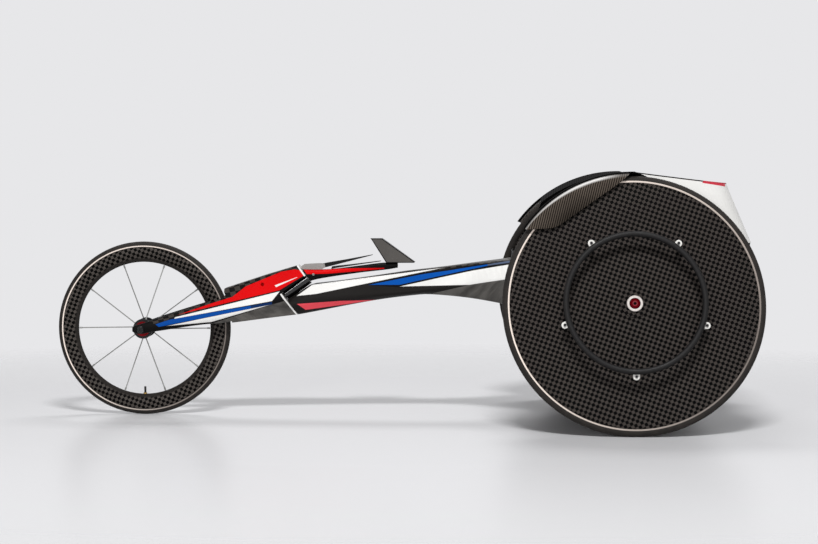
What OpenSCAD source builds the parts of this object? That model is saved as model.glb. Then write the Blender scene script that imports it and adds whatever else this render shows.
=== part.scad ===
// Three-wheeled racing wheelchair with a long boom, cambered disc wheels and a kneeling tub.
// Sizes in millimetres. X runs to the rear, Y to the rider's right, Z up, origin on the ground.

/* [Overall] */
// distance between the front and the rear axle
wheelbase = 1307; // [1280:1:1340]
// lean of the rear wheels, tops inward, in degrees
camber = 12; // [10:0.5:13]
// half the distance between the rear wheel centres
hub_half_track = 290; // [286:1:300]

/* [Rear wheels] */
// outside diameter of the rear tyre
rear_wheel_d = 668; // [660:1:680]
// width of the rear tyre
rear_tyre_w = 23; // [21:0.5:25]
// width of the disc at the tyre
disc_edge_w = 19.5; // [18:0.5:20.5]
// width of the disc part way in, where its slope steepens
disc_dome_w = 44; // [36:1:47]
// diameter at which the slope of the disc steepens
disc_dome_d = 150; // [110:1:200]
// width of the disc at the hub
disc_hub_w = 50; // [48:0.5:54]
// thickness of the disc skins
disc_skin_t = 1.8; // [1.2:0.1:2.4]
// depth of the solid rim inside the disc
disc_rim_depth = 28; // [18:1:40]
// diameter of the hub flanges
hub_flange_d = 68; // [60:1:80]
// thickness of the hub flanges
hub_flange_t = 4; // [3:0.5:6]
// diameter of the hub barrel
hub_barrel_d = 44; // [38:1:52]
// diameter of the bright ring on the hub
hub_ring_d = 41; // [36:1:50]
// how far the bright ring stands out
hub_ring_t = 5.5; // [4:0.5:8]
// diameter of the rear axle
axle_d = 12.7; // [12:0.1:14]
// diameter of the hub bearings
hub_bearing_d = 28; // [26:0.5:30]
// width of the hub bearings
hub_bearing_w = 8; // [6:0.5:10]
// diameter of the axle cap
axle_cap_d = 27.5; // [24:0.5:28]
// width of the hexagon socket in the axle cap
axle_hex_w = 9; // [7:0.5:12]

/* [Push rims] */
// outside diameter of the push rim
push_rim_d = 364; // [340:1:390]
// thickness of the push rim tube
push_tube_d = 15; // [12:0.5:20]
// distance of the push rim from the wheel's middle plane
push_rim_off = 55; // [48:1:62]
// width of a push rim tab
tab_w = 17; // [15:0.5:20]
// thickness of a push rim tab
tab_t = 3; // [2:0.5:4]
// number of push rim tabs
tab_count = 5; // [4:1:6]
// diameter of the spacer behind a tab
tab_spacer_d = 11; // [9:0.5:13]
// diameter of a tab screw
tab_screw_d = 4; // [3.5:0.5:5]

/* [Front wheel] */
// outside diameter of the front tyre
front_wheel_d = 474; // [460:1:484]
// width of the front tyre
front_tyre_w = 21; // [19:0.5:23]
// depth of the front rim
front_rim_depth = 40; // [34:1:44]
// largest width of the front rim
front_rim_w = 24.4; // [22:0.2:26]
// width of the front rim at the tyre
front_rim_edge_w = 19; // [17:0.5:20]
// diameter of the rounded inner edge of the front rim
front_rim_nose_d = 10; // [7:0.5:13]
// diameter of the front hub flanges
front_flange_d = 54; // [48:1:60]
// distance between the front hub flanges
front_flange_gap = 48; // [42:1:52]
// thickness of the front hub flanges
front_flange_t = 4; // [3:0.5:5]
// diameter of the front hub barrel
front_barrel_d = 25; // [22:1:30]
// length of the front hub
front_hub_len = 92; // [86:1:94]
// diameter of the coloured ring on the front hub
front_ring_d = 40; // [34:1:46]
// thickness of the coloured ring on the front hub
front_ring_t = 3; // [2:0.5:4]
// diameter of the front axle
front_axle_d = 9; // [8:0.5:10]
// diameter of the front hub bearings
front_bearing_d = 19; // [17:0.5:21]
// width of the front hub bearings
front_bearing_w = 8; // [6:0.5:10]
// number of spokes
spoke_count = 10; // [8:2:12]
// width of a spoke blade
spoke_w = 3; // [2:0.2:4]
// thickness of a spoke blade
spoke_t = 1.1; // [0.9:0.1:1.6]
// diameter of a spoke nipple
nipple_d = 4.4; // [4:0.2:5]
// length of a spoke nipple
nipple_len = 8.5; // [6:0.5:12]
// diameter of the valve stem
valve_d = 6; // [5:0.5:7]
// length of the valve stem inside the rim
valve_len = 20; // [16:1:26]
// diameter of the valve nut
valve_nut_d = 10; // [9:0.5:12]
// height of the valve nut
valve_nut_h = 3; // [2:0.5:4]

/* [Fork] */
// level distance of the steering centre behind the front tyre
steer_behind = 183; // [175:1:191]
// height of the steering centre above the front axle
fork_rise = 116; // [112:1:120]
// slope of the steering axis above the horizontal in degrees
steer_angle = 36; // [34:0.5:38]
// half the width of the fork at the front axle
fork_half_w = 59; // [58:0.5:62]
// half the space between the fork ends
fork_gap_half = 50; // [48:0.5:51]
// half the space between the fork blades at the crown
crown_gap_half = 37; // [34:0.5:39]
// space between the front tyre and the fork crown
crown_clear = 9; // [7:0.5:12]
// softness of the fork edges
fork_soft = 7; // [4:0.5:10]
// diameter of the hole in the side of the crown
port_d = 10; // [7:0.5:13]
// diameter of a front axle nut
axle_nut_d = 20; // [17:0.5:23]
// thickness of a front axle nut
axle_nut_t = 7; // [5:0.5:9]

/* [Steering head] */
// diameter of the head tube
head_tube_d = 32; // [30:0.5:34]
// distance of the lower seam below the steering centre, along the axis
seam_low = 41; // [39:0.5:43]
// distance of the upper seam above the steering centre, along the axis
seam_top = 39; // [37:0.5:41]
// width of the open seams
seam_gap = 2; // [1.5:0.1:3]
// half the height of the head tube left open at the side
head_open_half = 10; // [9:0.5:12]
// diameter of the steerer pin
steerer_d = 16; // [14:0.5:18]
// diameter of the head bearings
head_bearing_d = 26; // [24:0.5:27]
// width of the head bearings
head_bearing_w = 8; // [6:0.5:10]
// length of the steerer pin in the fork crown
steerer_root = 55; // [40:1:60]
// length of the steerer pin in the tiller
steerer_tip = 22; // [18:0.5:24]

/* [Tiller] */
// length of the tiller
tiller_len = 283; // [275:1:290]
// height of the underside of the tiller above the steering centre
tiller_lift = 12; // [11:0.5:15]
// height from that underside to the top of the tiller's rear end
tiller_rise = 52.5; // [50:0.5:56]
// half the width of the tiller
tiller_half_w = 23; // [20:0.5:25]
// softness of the tiller edges
tiller_soft = 5; // [3:0.5:7]
// length of the steering fin
fin_len = 124; // [110:1:128]
// height of the steering fin
fin_rise = 66; // [55:1:75]
// half the width of the steering fin
fin_half_w = 17; // [13:0.5:19]
// length of the lever bracket
bracket_len = 66; // [62:1:68]
// height of the lever bracket
bracket_rise = 16; // [15:0.5:17]
// half the width of the lever bracket
bracket_half_w = 11; // [10:0.5:13]
// length of the brake lever from its pin
lever_len = 142; // [120:1:146]
// slope of the brake lever in degrees
lever_slope = 12.5; // [11:0.5:14]
// diameter of the brake lever's eye
lever_eye_d = 12; // [11:0.5:12.5]
// width of the brake lever's blade
lever_w = 14; // [11:0.5:17]
// diameter of the lever pin
lever_pin_d = 5; // [4:0.5:6]
// length of the steering handle
handle_len = 138; // [130:1:139]
// width of the steering handle
handle_w = 16; // [12:0.5:20]
// thickness of the steering handle at its root
handle_t = 6; // [4:0.5:7]
// slope of the steering handle in degrees
handle_slope = 8.5; // [8:0.5:9.5]

/* [Front brake] */
// place of the caliper round the front wheel, in degrees above the horizontal
caliper_angle = 14; // [12:0.5:16]
// distance of the caliper bolt outside the front tyre
caliper_bolt_out = 18; // [16:0.5:21]
// diameter of the caliper bolt
caliper_bolt_d = 6; // [5:0.5:7]
// thickness of a caliper arm
caliper_arm_t = 6; // [5:0.5:7]
// width of a caliper arm
caliper_arm_w = 6; // [5:0.5:7]
// length of a brake pad
pad_len = 36; // [28:1:44]
// height of a brake pad
pad_h = 11; // [9:0.5:12]
// space between the brake pad and the rim
pad_gap = 2; // [1.8:0.1:2.4]
// thickness of a brake pad
pad_t = 7; // [6:0.5:8]

/* [Boom] */
// depth of the boom's front end below the steering centre
boom_drop = 83; // [79:1:87]
// height from the lowest point of the boom to its top at the tub
boom_rise = 160; // [156:0.5:164]
// height of the tub's front rim above the boom's rear end
boom_under_rim = 20; // [18:0.5:26]
// half the width of the boom at the tub
boom_half_w = 128; // [120:1:132]
// reach of the boom in front of the steering centre
boom_lead = 43; // [40:0.5:46]
// softness of the boom edges
boom_soft = 9; // [5:0.5:12]

/* [Tub] */
// distance of the tub's front wall in front of the rear axle
tub_front = 302; // [298:1:306]
// distance of the tub's back wall behind the rear axle, at the rim
tub_back = 320; // [312:1:324]
// height of the tub's underside above the centre of the rear hubs
tub_lift = 9; // [8:0.5:13]
// height of the tub's rim above its underside
tub_depth = 144; // [134:1:154]
// height of the tub's rim above its underside at the front wall
tub_front_depth = 114; // [110:1:124]
// thickness of the tub's wall
tub_t = 4; // [3:0.5:5]
// radius of the tub's corners seen from above
tub_corner_r = 110; // [90:1:130]
// softness of the edge between floor and wall
tub_soft = 34; // [24:1:44]
// height of the keel under the tub
keel_drop = 92; // [88:1:98]
// half the width of the keel at the axle
keel_half_w = 64; // [58:1:70]
// length of the keel behind the rear axle
keel_tail = 62; // [50:1:75]
// diameter of the axle tubes
axle_tube_d = 34; // [31:0.5:35]
// wall of the axle tubes
axle_tube_t = 2.5; // [2:0.5:4]

/* [Side guards and fairing] */
// distance of the side guard from the wheel's middle plane
guard_off = 43; // [41:0.5:46]
// thickness of the side guards
guard_t = 3; // [2.5:0.5:4]
// space between the rear tyre and the fender
fender_clear = 6; // [5:0.5:8]
// how far the fender reaches outside the wheel's middle plane
fender_reach = 22; // [20:0.5:25]
// width of the fender's outer fold
fender_fold = 7; // [5:0.5:9]
// wheel angle of the fender's front tip in degrees
fender_tip_angle = 145; // [140:0.5:148]
// wheel angle at which the fender joins its side guard in degrees
guard_tip_angle = 129; // [124:0.5:132]
// wheel angle of the fender's rear tip in degrees
fender_tail_angle = 83; // [80:0.5:86]
// thickness of the rear fairing
fairing_t = 3.5; // [3:0.5:5]
// distance of the fairing's front edge behind the rear axle
fairing_front = 12; // [6:1:20]
// height of the fairing's front edge above the rear tyres
fairing_over = 7.3; // [5:0.1:12]
// drop of the fairing's top to its rear corner
fairing_drop = 33; // [24:1:40]
// how far the fairing's back leans forward at its top
fairing_lean = 61; // [48:1:70]
// height of the trim on the fairing's top edge
trim_t = 3; // [2:0.5:4]
// diameter of a fender screw head
guard_screw_d = 10; // [8:0.5:12]

/* [Pads] */
// length of the seat cushion
seat_len = 205; // [190:1:215]
// half the width of the seat cushion
seat_half_w = 160; // [140:1:170]
// thickness of the seat cushion
seat_t = 85; // [60:1:95]
// length of the knee pad
knee_len = 230; // [200:1:240]
// half the width of the knee pad
knee_half_w = 165; // [140:1:172]
// thickness of the knee pad
knee_t = 32; // [24:1:40]

/* [Hidden] */
// bonded or bolted pieces of one body stand this far apart
seat_gap = 0.1;
// running clearance round a shaft, on the radius
run_gap = 0.05;
// clearance between pieces that pass each other
pass_gap = 0.5;
// soft pads stand this far off what they rest on
soft_gap = 0.3;
// how far a cut runs past the face it opens
cut_over = 4;
// reach of a cut that passes all the way through a large piece
cut_far = wheelbase / 2;
// segments of round outlines
wheel_fn = 160;
tube_fn = 48;
small_fn = 32;

// wheel radii and places
rear_r = rear_wheel_d / 2;
rear_tyre_r = rear_tyre_w / 2;
front_r = front_wheel_d / 2;
front_tyre_r = front_tyre_w / 2;
rear_axle_x = (wheelbase + front_r - rear_r) / 2;
front_axle_x = rear_axle_x - wheelbase;
hub_h = (rear_r - rear_tyre_r) * cos(camber) + rear_tyre_r;

// rear wheel
disc_edge_r = rear_r - 0.8 * rear_tyre_w;
disc_rim_r = disc_edge_r - disc_rim_depth;
disc_slope = (disc_dome_w - disc_edge_w) / 2 / (disc_edge_r - disc_dome_d / 2);
disc_rim_half = disc_edge_w / 2 + disc_slope * disc_rim_depth - disc_skin_t;
disc_collar_r = hub_flange_d / 2 + disc_skin_t;
hub_half = disc_hub_w / 2 + hub_flange_t;
hub_core_r = hub_bearing_d * 0.36;
hub_seat = hub_half - hub_flange_t * 0.75 - hub_bearing_w;
axle_shoulder_r = axle_d * 0.72;
axle_cap_t = hub_ring_t + hub_flange_t * 0.4;
axle_cap_chamfer = axle_cap_d * 0.06;
tab_bolt_r = push_rim_d / 2 + tab_w * 0.28;
tab_off = push_rim_off - push_tube_d * 0.36;
push_ring_r = (push_rim_d - push_tube_d) / 2;
tab_screw_head = tab_screw_d * 0.9;
tab_screw_grip = tab_spacer_d * 1.4;
tab_first_angle = 54;

// front wheel
front_edge_r = front_r - 0.75 * front_tyre_w;
front_rim_r = front_edge_r - front_rim_depth;
front_rim_mid_r = front_rim_r + front_rim_depth * 0.62;
front_nose_r = front_rim_nose_d / 2;
front_flange_r = front_flange_d / 2;
front_spoke_off = front_flange_gap / 2 + front_flange_t / 2;
spoke_rise = front_rim_r - front_flange_r;
spoke_lean = atan2(front_spoke_off, spoke_rise);
spoke_run = norm([front_spoke_off, spoke_rise]) - nipple_len - nipple_d * 0.2;
front_core_r = front_bearing_d * 0.34;
front_seat = front_hub_len / 2 - front_bearing_w - front_flange_t * 0.5;
front_shoulder_r = front_axle_d * 0.9;
front_ring_place = front_flange_gap / 2 + front_flange_t + front_ring_t / 2 + seat_gap;
spacer_end = fork_gap_half - seat_gap;
// the blades' inner sides stay parallel as far back as this
spacer_back_x = front_axle_x + front_shoulder_r * 1.2;

// steering
steer_reach = front_r + steer_behind;
steer_x = front_axle_x + steer_reach;
steer_h = front_r + fork_rise;
tiller_h = steer_h + tiller_lift;
boom_h = steer_h - boom_drop;
caliper_bolt_r = front_r + caliper_bolt_out;
head_r = head_tube_d / 2;
steerer_r = steerer_d / 2;
fork_seam = -seam_low - seam_gap / 2;
boom_seam = -seam_low + seam_gap / 2;
head_low = -seam_low + seam_gap * 0.75;
head_top = seam_top - seam_gap * 0.75;
crown_r = front_r + crown_clear;
arc_steps = 4;

// part of the fork's length that lies beside the front wheel
crown_share = 0.5857;
// fork outlines: along in shares of the steering reach, up in shares of the rise to the steering centre
fork_top_shares = [[-0.055, 0.06], [-0.04, 0.1], [0, 0.135], [0.062, 0.2155], [0.136, 0.306],
    [0.252, 0.44], [0.402, 0.608], [0.507, 0.715], [0.532, 0.745], [0.5345, 0.955], [0.581, 1.01],
    [0.805, 1.276], [1.027, 1.517], [1.16, 1.655]];
fork_low_shares = [[-0.055, -0.05], [-0.04, -0.085], [0, -0.105], [0.062, -0.06], [0.136, -0.022],
    [0.252, 0.043], [0.402, 0.115], [0.507, 0.138], [0.581, 0.15], [0.805, 0.252], [1.027, 0.35],
    [1.16, 0.407]];
fork_mid_shares = [[-0.055, 0.005], [0, 0.01], [0.062, 0.04], [0.136, 0.085], [0.252, 0.155],
    [0.402, 0.24], [0.581, 0.36], [0.805, 0.6], [1.027, 0.82], [1.16, 0.93]];
// fork half widths in shares of its half width at the front axle
fork_mid_w_shares = [[-0.055, 0.985], [0, 1], [0.136, 0.98], [0.402, 0.9], [0.581, 0.83], [0.805, 0.76],
    [1.027, 0.7], [1.16, 0.68]];
fork_top_w_shares = [[-0.055, 0.97], [0, 0.985], [0.062, 0.95], [0.136, 0.91], [0.402, 0.78],
    [0.507, 0.74], [0.532, 0.72], [0.5345, 0.58], [0.581, 0.54], [0.805, 0.48], [1.027, 0.42],
    [1.16, 0.4]];
fork_low_w_shares = [[-0.055, 0.97], [0, 0.985], [0.062, 0.95], [0.136, 0.91], [0.402, 0.77],
    [0.507, 0.7], [0.581, 0.58], [0.805, 0.44], [1.027, 0.38], [1.16, 0.36]];
// largest step between two sections of the fork, in the same shares
fork_step_share = 0.03;
// places of the fork's sections
fork_places = concat([for (i = [0 : len(fork_top_shares) - 2])
    let (
        a = fork_top_shares[i][0],
        b = fork_top_shares[i + 1][0],
        n = ceil((b - a) / fork_step_share)
    )
    for (j = [0 : n - 1])
        a + (b - a) * j / n], [fork_top_shares[len(fork_top_shares) - 1][0]]);
// place of the side hole in the same shares
port_shares = [0.782, 1.056];

// boom outlines: along in shares of its length, up in shares of its rise, across in shares of its half width
boom_x0 = steer_x - boom_lead;
boom_x1 = rear_axle_x - tub_front - seat_gap;
boom_len = boom_x1 - boom_x0;
boom_stations = 40;
// part of the boom that lies under the tiller, and its length
boom_front_share = 0.5057;
boom_front = boom_lead + tiller_len * 0.97;
boom_top_shares = [[0, 0.225], [0.03, 0.3], [0.08, 0.425], [0.129, 0.548], [0.189, 0.586], [0.252, 0.615],
    [0.361, 0.675], [0.492, 0.7525], [0.554, 0.789], [0.688, 0.85], [0.855, 0.935], [1, 1]];
boom_low_shares = [[0, -0.01], [0.08, 0.042], [0.414, 0.289], [0.605, 0.384], [0.654, 0.387],
    [0.812, 0.338], [0.959, 0.262], [1, 0.238]];
boom_mid_shares = [[0, 0.187], [0.08, 0.244], [0.189, 0.3], [0.414, 0.375], [0.586, 0.425], [0.654, 0.472],
    [0.814, 0.581], [0.973, 0.688], [1, 0.706]];
boom_mid_w_shares = [[0, 0.325], [0.189, 0.3], [0.414, 0.275], [0.63, 0.278], [0.79, 0.4], [0.91, 0.68],
    [1, 1]];
boom_top_w_shares = [[0, 0.19], [0.189, 0.165], [0.414, 0.155], [0.63, 0.158], [0.79, 0.2], [0.91, 0.33],
    [1, 0.5]];
boom_low_w_shares = [[0, 0.16], [0.189, 0.14], [0.414, 0.125], [0.63, 0.128], [0.79, 0.23], [0.91, 0.48],
    [1, 0.8]];

// tiller outlines in shares of its length, rise and half width
tiller_x0 = steer_x - 0.03 * tiller_len;
tiller_stations = 22;
tiller_top_shares = [[0, 0.645], [0.322, 0.648], [0.622, 0.838], [0.84, 0.99], [0.9, 1], [1, 1]];
tiller_low_shares = [[0, -0.4], [0.124, -0.03], [0.244, 0.165], [0.622, 0.475], [0.9, 0.65], [1, 0.74]];
tiller_w_shares = [[0, 1], [0.25, 0.96], [0.622, 0.72], [0.9, 0.62], [1, 0.5]];
tiller_top_h = tiller_h + tiller_rise;
fin_x0 = tiller_x0 + tiller_len - 0.62 * fin_len;
// steering fin outline in shares of its length and height
fin_shares = [[0.37, 0], [0.05, 0.93], [0.02, 1], [0.28, 1], [1, 0.035], [0.98, 0]];
fin_plan_shares = [[0, 0.26], [0.4, 1], [1, 0.6]];
// lever bracket outline in shares of its length and height
bracket_shares = [[0, 0], [0, 0.52], [0.12, 0.86], [0.7, 1], [0.96, 0.95], [1, 0.35], [0.84, 0]];
bracket_x0 = steer_x + 0.042 * tiller_len;
bracket_h = tiller_h + 0.652 * tiller_rise;
lever_pin_x = bracket_x0 + 0.86 * bracket_len;
lever_pin_h = bracket_h + 0.58 * bracket_rise;
lever_eye_w = bracket_half_w * 0.8;
lever_slot_half = lever_eye_w / 2 + pass_gap;
lever_blade_from = lever_eye_d * 1.1;
// lever blade outline in shares of its length and of its eye
lever_shares = [[0, -0.5], [0.12, -0.46], [0.5, -0.3], [0.98, -0.06], [1, 0.06], [0.5, 0.26], [0.12, 0.48],
    [0, 0.5]];
handle_x0 = tiller_x0 + 0.36 * tiller_len;
handle_h = tiller_h + 0.676 * tiller_rise;
handle_shares = [[0, 0], [0.1, 0.1], [0.985, 0.12], [1, 0.36], [0.4, 0.72], [0.12, 1], [0.02, 1]];
grub_d = steerer_d * 0.4;
grub_place = seam_top + seam_gap / 2 + steerer_tip * 0.75;

// front brake
caliper_drop = caliper_bolt_r - front_edge_r + pad_h * 0.85;
caliper_rim_half = front_rim_w / 2;
pad_in = caliper_rim_half + pad_gap;
arm_in = pad_in + pad_t + seat_gap;
arm_out = arm_in + caliper_arm_w;
arm_layer = pass_gap + caliper_arm_t / 2;
caliper_eye_r = caliper_bolt_d * 1.1;
pocket_half_y = caliper_arm_t + pass_gap * 8;
pocket_half_w = arm_out + pass_gap * 4;
pocket_in = caliper_bolt_r - crown_r + pass_gap * 4;
pocket_out = caliper_eye_r + pass_gap * 8;
caliper_bolt_len = pocket_half_y * 2 + caliper_bolt_d * 3;

// tub, keel and guards
guard_in = guard_off + guard_t;
tub_side_off = guard_in + seat_gap;
tub_steps = 7;
tub_stations = 9;
tub_low_back = tub_back - 0.07 * tub_back;
tub_h = hub_h + tub_lift;
tub_rim_h = tub_h + tub_depth;
tub_front_rim_h = tub_h + tub_front_depth;
fairing_top_h = hub_h + rear_r * cos(camber) + fairing_over;
// lift of the boom's rear end that keeps it under the tub's front rim
boom_lift = tub_front_rim_h - boom_under_rim - boom_h - boom_rise;
floor_top = tub_h + tub_t;
keel_stations = 14;
keel_low_shares = [[0, 0.34], [0.3, 0.42], [0.62, 0.8], [0.78, 1], [0.95, 1], [1, 0.82]];
keel_w_shares = [[0, 1.55], [0.3, 1.25], [0.62, 1.02], [0.78, 1], [1, 0.9]];
keel_x0 = rear_axle_x - tub_front;
keel_len = tub_front + keel_tail;
axle_tube_end = guard_off - hub_flange_t * 0.75;
axle_tube_in = (hub_half_track - keel_half_w * 0.45) / cos(camber);
plug_len = axle_tube_d * 1.2;
plug_lip = hub_flange_t;
plug_r = axle_tube_d / 2 - axle_tube_t;
// leaf edge of the fender, in shares of the rear wheel's radius from the wheel's centre
leaf_shares = [[-1.2, 0.548], [-0.62, 0.582], [-0.57, 0.6], [-0.09, 0.943], [0.02, 1.05]];
// side guard outline in the same shares
guard_shares = [[-0.79, 0.08], [-0.79, 0.3], [-0.74, 0.56]];
guard_tail_shares = [[0.12, 0.98], [0.13, 0.5], [0.16, 0.08]];
guard_screw_shares = [[-0.56, 0.33], [-0.22, 0.33], [0.1, 0.33]];
fender_r = rear_r + fender_clear;
guard_rim_r = fender_r + guard_t;
fairing_rows = 9;
fairing_cols = 12;
fairing_low_h = tub_rim_h + seat_gap;
fairing_side_off = tub_side_off;
fairing_corner_r = tub_corner_r * 0.82;
// top edge of the fairing: along in shares of its run to the rear, down in shares of its drop
fairing_top_shares = [[0, 0], [0.25, 0.3], [0.7, 0.8], [1, 1]];

// pads
seat_x0 = rear_axle_x + tub_low_back - tub_t - tub_soft * 0.75 - seat_len;
knee_x0 = rear_axle_x - tub_front + tub_soft;
// heights of a pad's rings and the sizes of their plans, in shares of its thickness and its plan
pad_shares = [[0, 0.9], [0.06, 0.965], [0.2, 0.995], [0.42, 1], [0.62, 0.988], [0.78, 0.96], [0.88, 0.91],
    [0.95, 0.8], [0.985, 0.6], [1, 0.3]];
pad_steps = 9;

// slope at point i of a list of places and values
function slope_at(t, i) =
    let (a = max(i - 1, 0), b = min(i + 1, len(t) - 1))
    (t[b][1] - t[a][1]) / (t[b][0] - t[a][0]);

// part of the list that holds place x
function part_of(t, x, i = 0) = (i >= len(t) - 2 || x < t[i + 1][0]) ? i : part_of(t, x, i + 1);

// smooth value at place x through a list of places and values
function curve(t, x) =
    let (
        i = part_of(t, x),
        h = t[i + 1][0] - t[i][0],
        s = min(max((x - t[i][0]) / h, 0), 1),
        m = slope_at(t, i) * h,
        n = slope_at(t, i + 1) * h,
        p = t[i][1],
        q = t[i + 1][1]
    )
    p * (1 + 2 * s) * (1 - s) * (1 - s) + q * s * s * (3 - 2 * s)
        + m * s * (1 - s) * (1 - s) - n * s * s * (1 - s);

// straight value at place x through a list of places and values
function straight(t, x) =
    let (i = part_of(t, x), s = (x - t[i][0]) / (t[i + 1][0] - t[i][0]))
    t[i][1] + s * (t[i + 1][1] - t[i][1]);

// closed outline with its corners rounded over a given reach
function soften(p, reach) =
    let (n = len(p))
    [for (i = [0 : n - 1])
        let (
            c = p[i],
            a = p[(i + n - 1) % n] - c,
            b = p[(i + 1) % n] - c,
            u = c + a * min(reach / norm(a), 0.48),
            w = c + b * min(reach / norm(b), 0.48)
        )
        for (j = [0 : arc_steps])
            let (s = j / arc_steps)
            u * (1 - s) * (1 - s) + c * 2 * s * (1 - s) + w * s * s];

// six-sided section across the chassis at x, from half widths and heights
function section(x, top_h, mid_h, low_h, top_w, mid_w, low_w, reach) =
    [for (p = soften([[low_w, low_h], [mid_w, mid_h], [top_w, top_h], [-top_w, top_h], [-mid_w, mid_h],
        [-low_w, low_h]], reach))
        [x, p[0], p[1]]];

// plan outline of the tub: places along x and shares of the half width
function tub_plan(front_x, back_x, half_w, corner_r) =
    [for (k = [0 : 3])
        for (j = [0 : tub_steps])
            let (
                a = 90 * (k + j / tub_steps),
                cx = (k == 0 || k == 3) ? back_x - corner_r : front_x + corner_r,
                cy = (k < 2 ? 1 : -1) * (half_w - corner_r)
            )
            [cx + corner_r * cos(a), (cy + corner_r * sin(a)) / half_w]];

// half width of the tub's outside at height z
function side_w(z) = hub_half_track - tub_side_off / cos(camber) - (z - hub_h) * tan(camber);

// height of the tub's rim at x measured from the rear axle
function rim_h(x) =
    let (s = min(max((x + tub_front) / (tub_front * 0.7), 0), 1))
    tub_front_rim_h + (tub_rim_h - tub_front_rim_h) * s * s * (3 - 2 * s);

// one ring of the tub at share t of its height, drawn in by inset
function tub_ring(t, inset, low) =
    let (back_x = tub_low_back + (tub_back - tub_low_back) * t)
    [for (p = tub_plan(-tub_front + inset, back_x - inset, side_w(low), tub_corner_r))
        let (z = low + (rim_h(p[0]) - low) * t)
        [rear_axle_x + p[0], p[1] * (side_w(z) - inset), z]];

// solid skinned over a stack of rings
module loft(rings) {
    n = len(rings[0]);
    m = len(rings);
    sides = [for (k = [0 : m - 2]) for (i = [0 : n - 1])
        let (a = k * n + i, b = k * n + (i + 1) % n, c = (k + 1) * n + (i + 1) % n, d = (k + 1) * n + i)
        each [[a, c, b], [a, d, c]]];
    first = [for (i = [1 : n - 2]) [0, i, i + 1]];
    last = [for (i = [1 : n - 2]) [(m - 1) * n, (m - 1) * n + i + 1, (m - 1) * n + i]];
    polyhedron(points = [for (r = rings) each r], faces = concat(sides, first, last), convexity = 8);
}

// solid between an outer and an inner grid of points
module sheet(outer, inner) {
    rows = len(outer);
    cols = len(outer[0]);
    n = rows * cols;
    skins = [for (r = [0 : rows - 2]) for (q = [0 : cols - 2])
        let (a = r * cols + q, b = a + 1, d = a + cols, c = d + 1)
        each [[a, b, c], [a, c, d], [n + a, n + c, n + b], [n + a, n + d, n + c]]];
    ends = [for (q = [0 : cols - 2])
        let (a = q, b = q + 1, d = (rows - 1) * cols + q, c = d + 1)
        each [[b, a, n + a], [b, n + a, n + b], [d, c, n + c], [d, n + c, n + d]]];
    edges = [for (r = [0 : rows - 2])
        let (a = r * cols, d = a + cols, b = a + cols - 1, c = b + cols)
        each [[a, d, n + d], [a, n + d, n + a], [c, b, n + b], [c, n + b, n + c]]];
    polyhedron(points = concat([for (r = outer) each r], [for (r = inner) each r]),
        faces = concat(skins, ends, edges), convexity = 8);
}

// places of the wheels, the steering axis and the caliper
module at_left_wheel() {
    translate([rear_axle_x, -hub_half_track, hub_h])
        rotate([90 - camber, 0, 0])
            children();
}

module at_right_wheel() {
    mirror([0, 1, 0])
        at_left_wheel()
            children();
}

module at_front_wheel() {
    translate([front_axle_x, 0, front_r])
        rotate([90, 0, 0])
            children();
}

module at_steering() {
    translate([steer_x, 0, steer_h])
        rotate([0, -steer_angle, 0])
            children();
}

module at_caliper() {
    at_front_wheel()
        rotate([0, 0, caliper_angle])
            translate([caliper_bolt_r, 0, 0])
                children();
}

// round bar along the steering axis
module steering_bar(from, to, r) {
    translate([from, 0, 0])
        rotate([0, 90, 0])
            cylinder(h = to - from, r = r, $fn = tube_fn);
}

// round bar along the wheel's axis
module wheel_bar(from, to, r) {
    translate([0, 0, from])
        cylinder(h = to - from, r = r, $fn = tube_fn);
}

// outline drawn in the upright plane and spread to both sides of the middle
module upright(half_w) {
    rotate([90, 0, 0])
        translate([0, 0, -half_w])
            linear_extrude(height = 2 * half_w)
                children();
}

// rear wheel pieces
module rear_tyre() {
    rotate_extrude($fn = wheel_fn)
        translate([rear_r - rear_tyre_r, 0])
            circle(r = rear_tyre_r, $fn = tube_fn);
}

module rear_disc() {
    half = disc_hub_w / 2;
    dome = disc_dome_w / 2;
    inner = hub_barrel_d / 2 + seat_gap;
    rotate_extrude($fn = wheel_fn)
        difference() {
            polygon([[inner, half], [disc_collar_r, half], [disc_dome_d / 2, dome],
                [disc_edge_r, disc_edge_w / 2],
                [disc_edge_r, -disc_edge_w / 2], [disc_dome_d / 2, -dome], [disc_collar_r, -half],
                [inner, -half],
                [inner, disc_skin_t - half], [disc_collar_r, disc_skin_t - half],
                [disc_dome_d / 2, disc_skin_t - dome], [disc_rim_r, -disc_rim_half],
                [disc_rim_r, disc_rim_half],
                [disc_dome_d / 2, dome - disc_skin_t], [disc_collar_r, half - disc_skin_t],
                [inner, half - disc_skin_t]]);
            translate([rear_r - rear_tyre_r, 0])
                circle(r = rear_tyre_r + seat_gap, $fn = tube_fn);
        }
}

// outside of the disc, filled, for fitting the push rim spacers to it
module disc_fill() {
    rotate_extrude($fn = wheel_fn)
        polygon([[0, -disc_edge_w / 2], [disc_edge_r, -disc_edge_w / 2],
            [disc_edge_r, disc_edge_w / 2 + seat_gap],
            [disc_dome_d / 2, disc_dome_w / 2 + seat_gap], [0, disc_dome_w / 2 + seat_gap]]);
}

module rear_hub() {
    half = disc_hub_w / 2 + seat_gap;
    flange = hub_flange_d / 2;
    barrel = hub_barrel_d / 2;
    bearing = hub_bearing_d / 2;
    rotate_extrude($fn = tube_fn)
        polygon([[bearing, -hub_half], [flange, -hub_half], [flange, -half], [barrel, -half], [barrel, half],
            [flange, half], [flange, hub_half], [bearing, hub_half], [bearing, hub_seat],
            [hub_core_r, hub_seat],
            [hub_core_r, -hub_seat], [bearing, -hub_seat]]);
}

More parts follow.
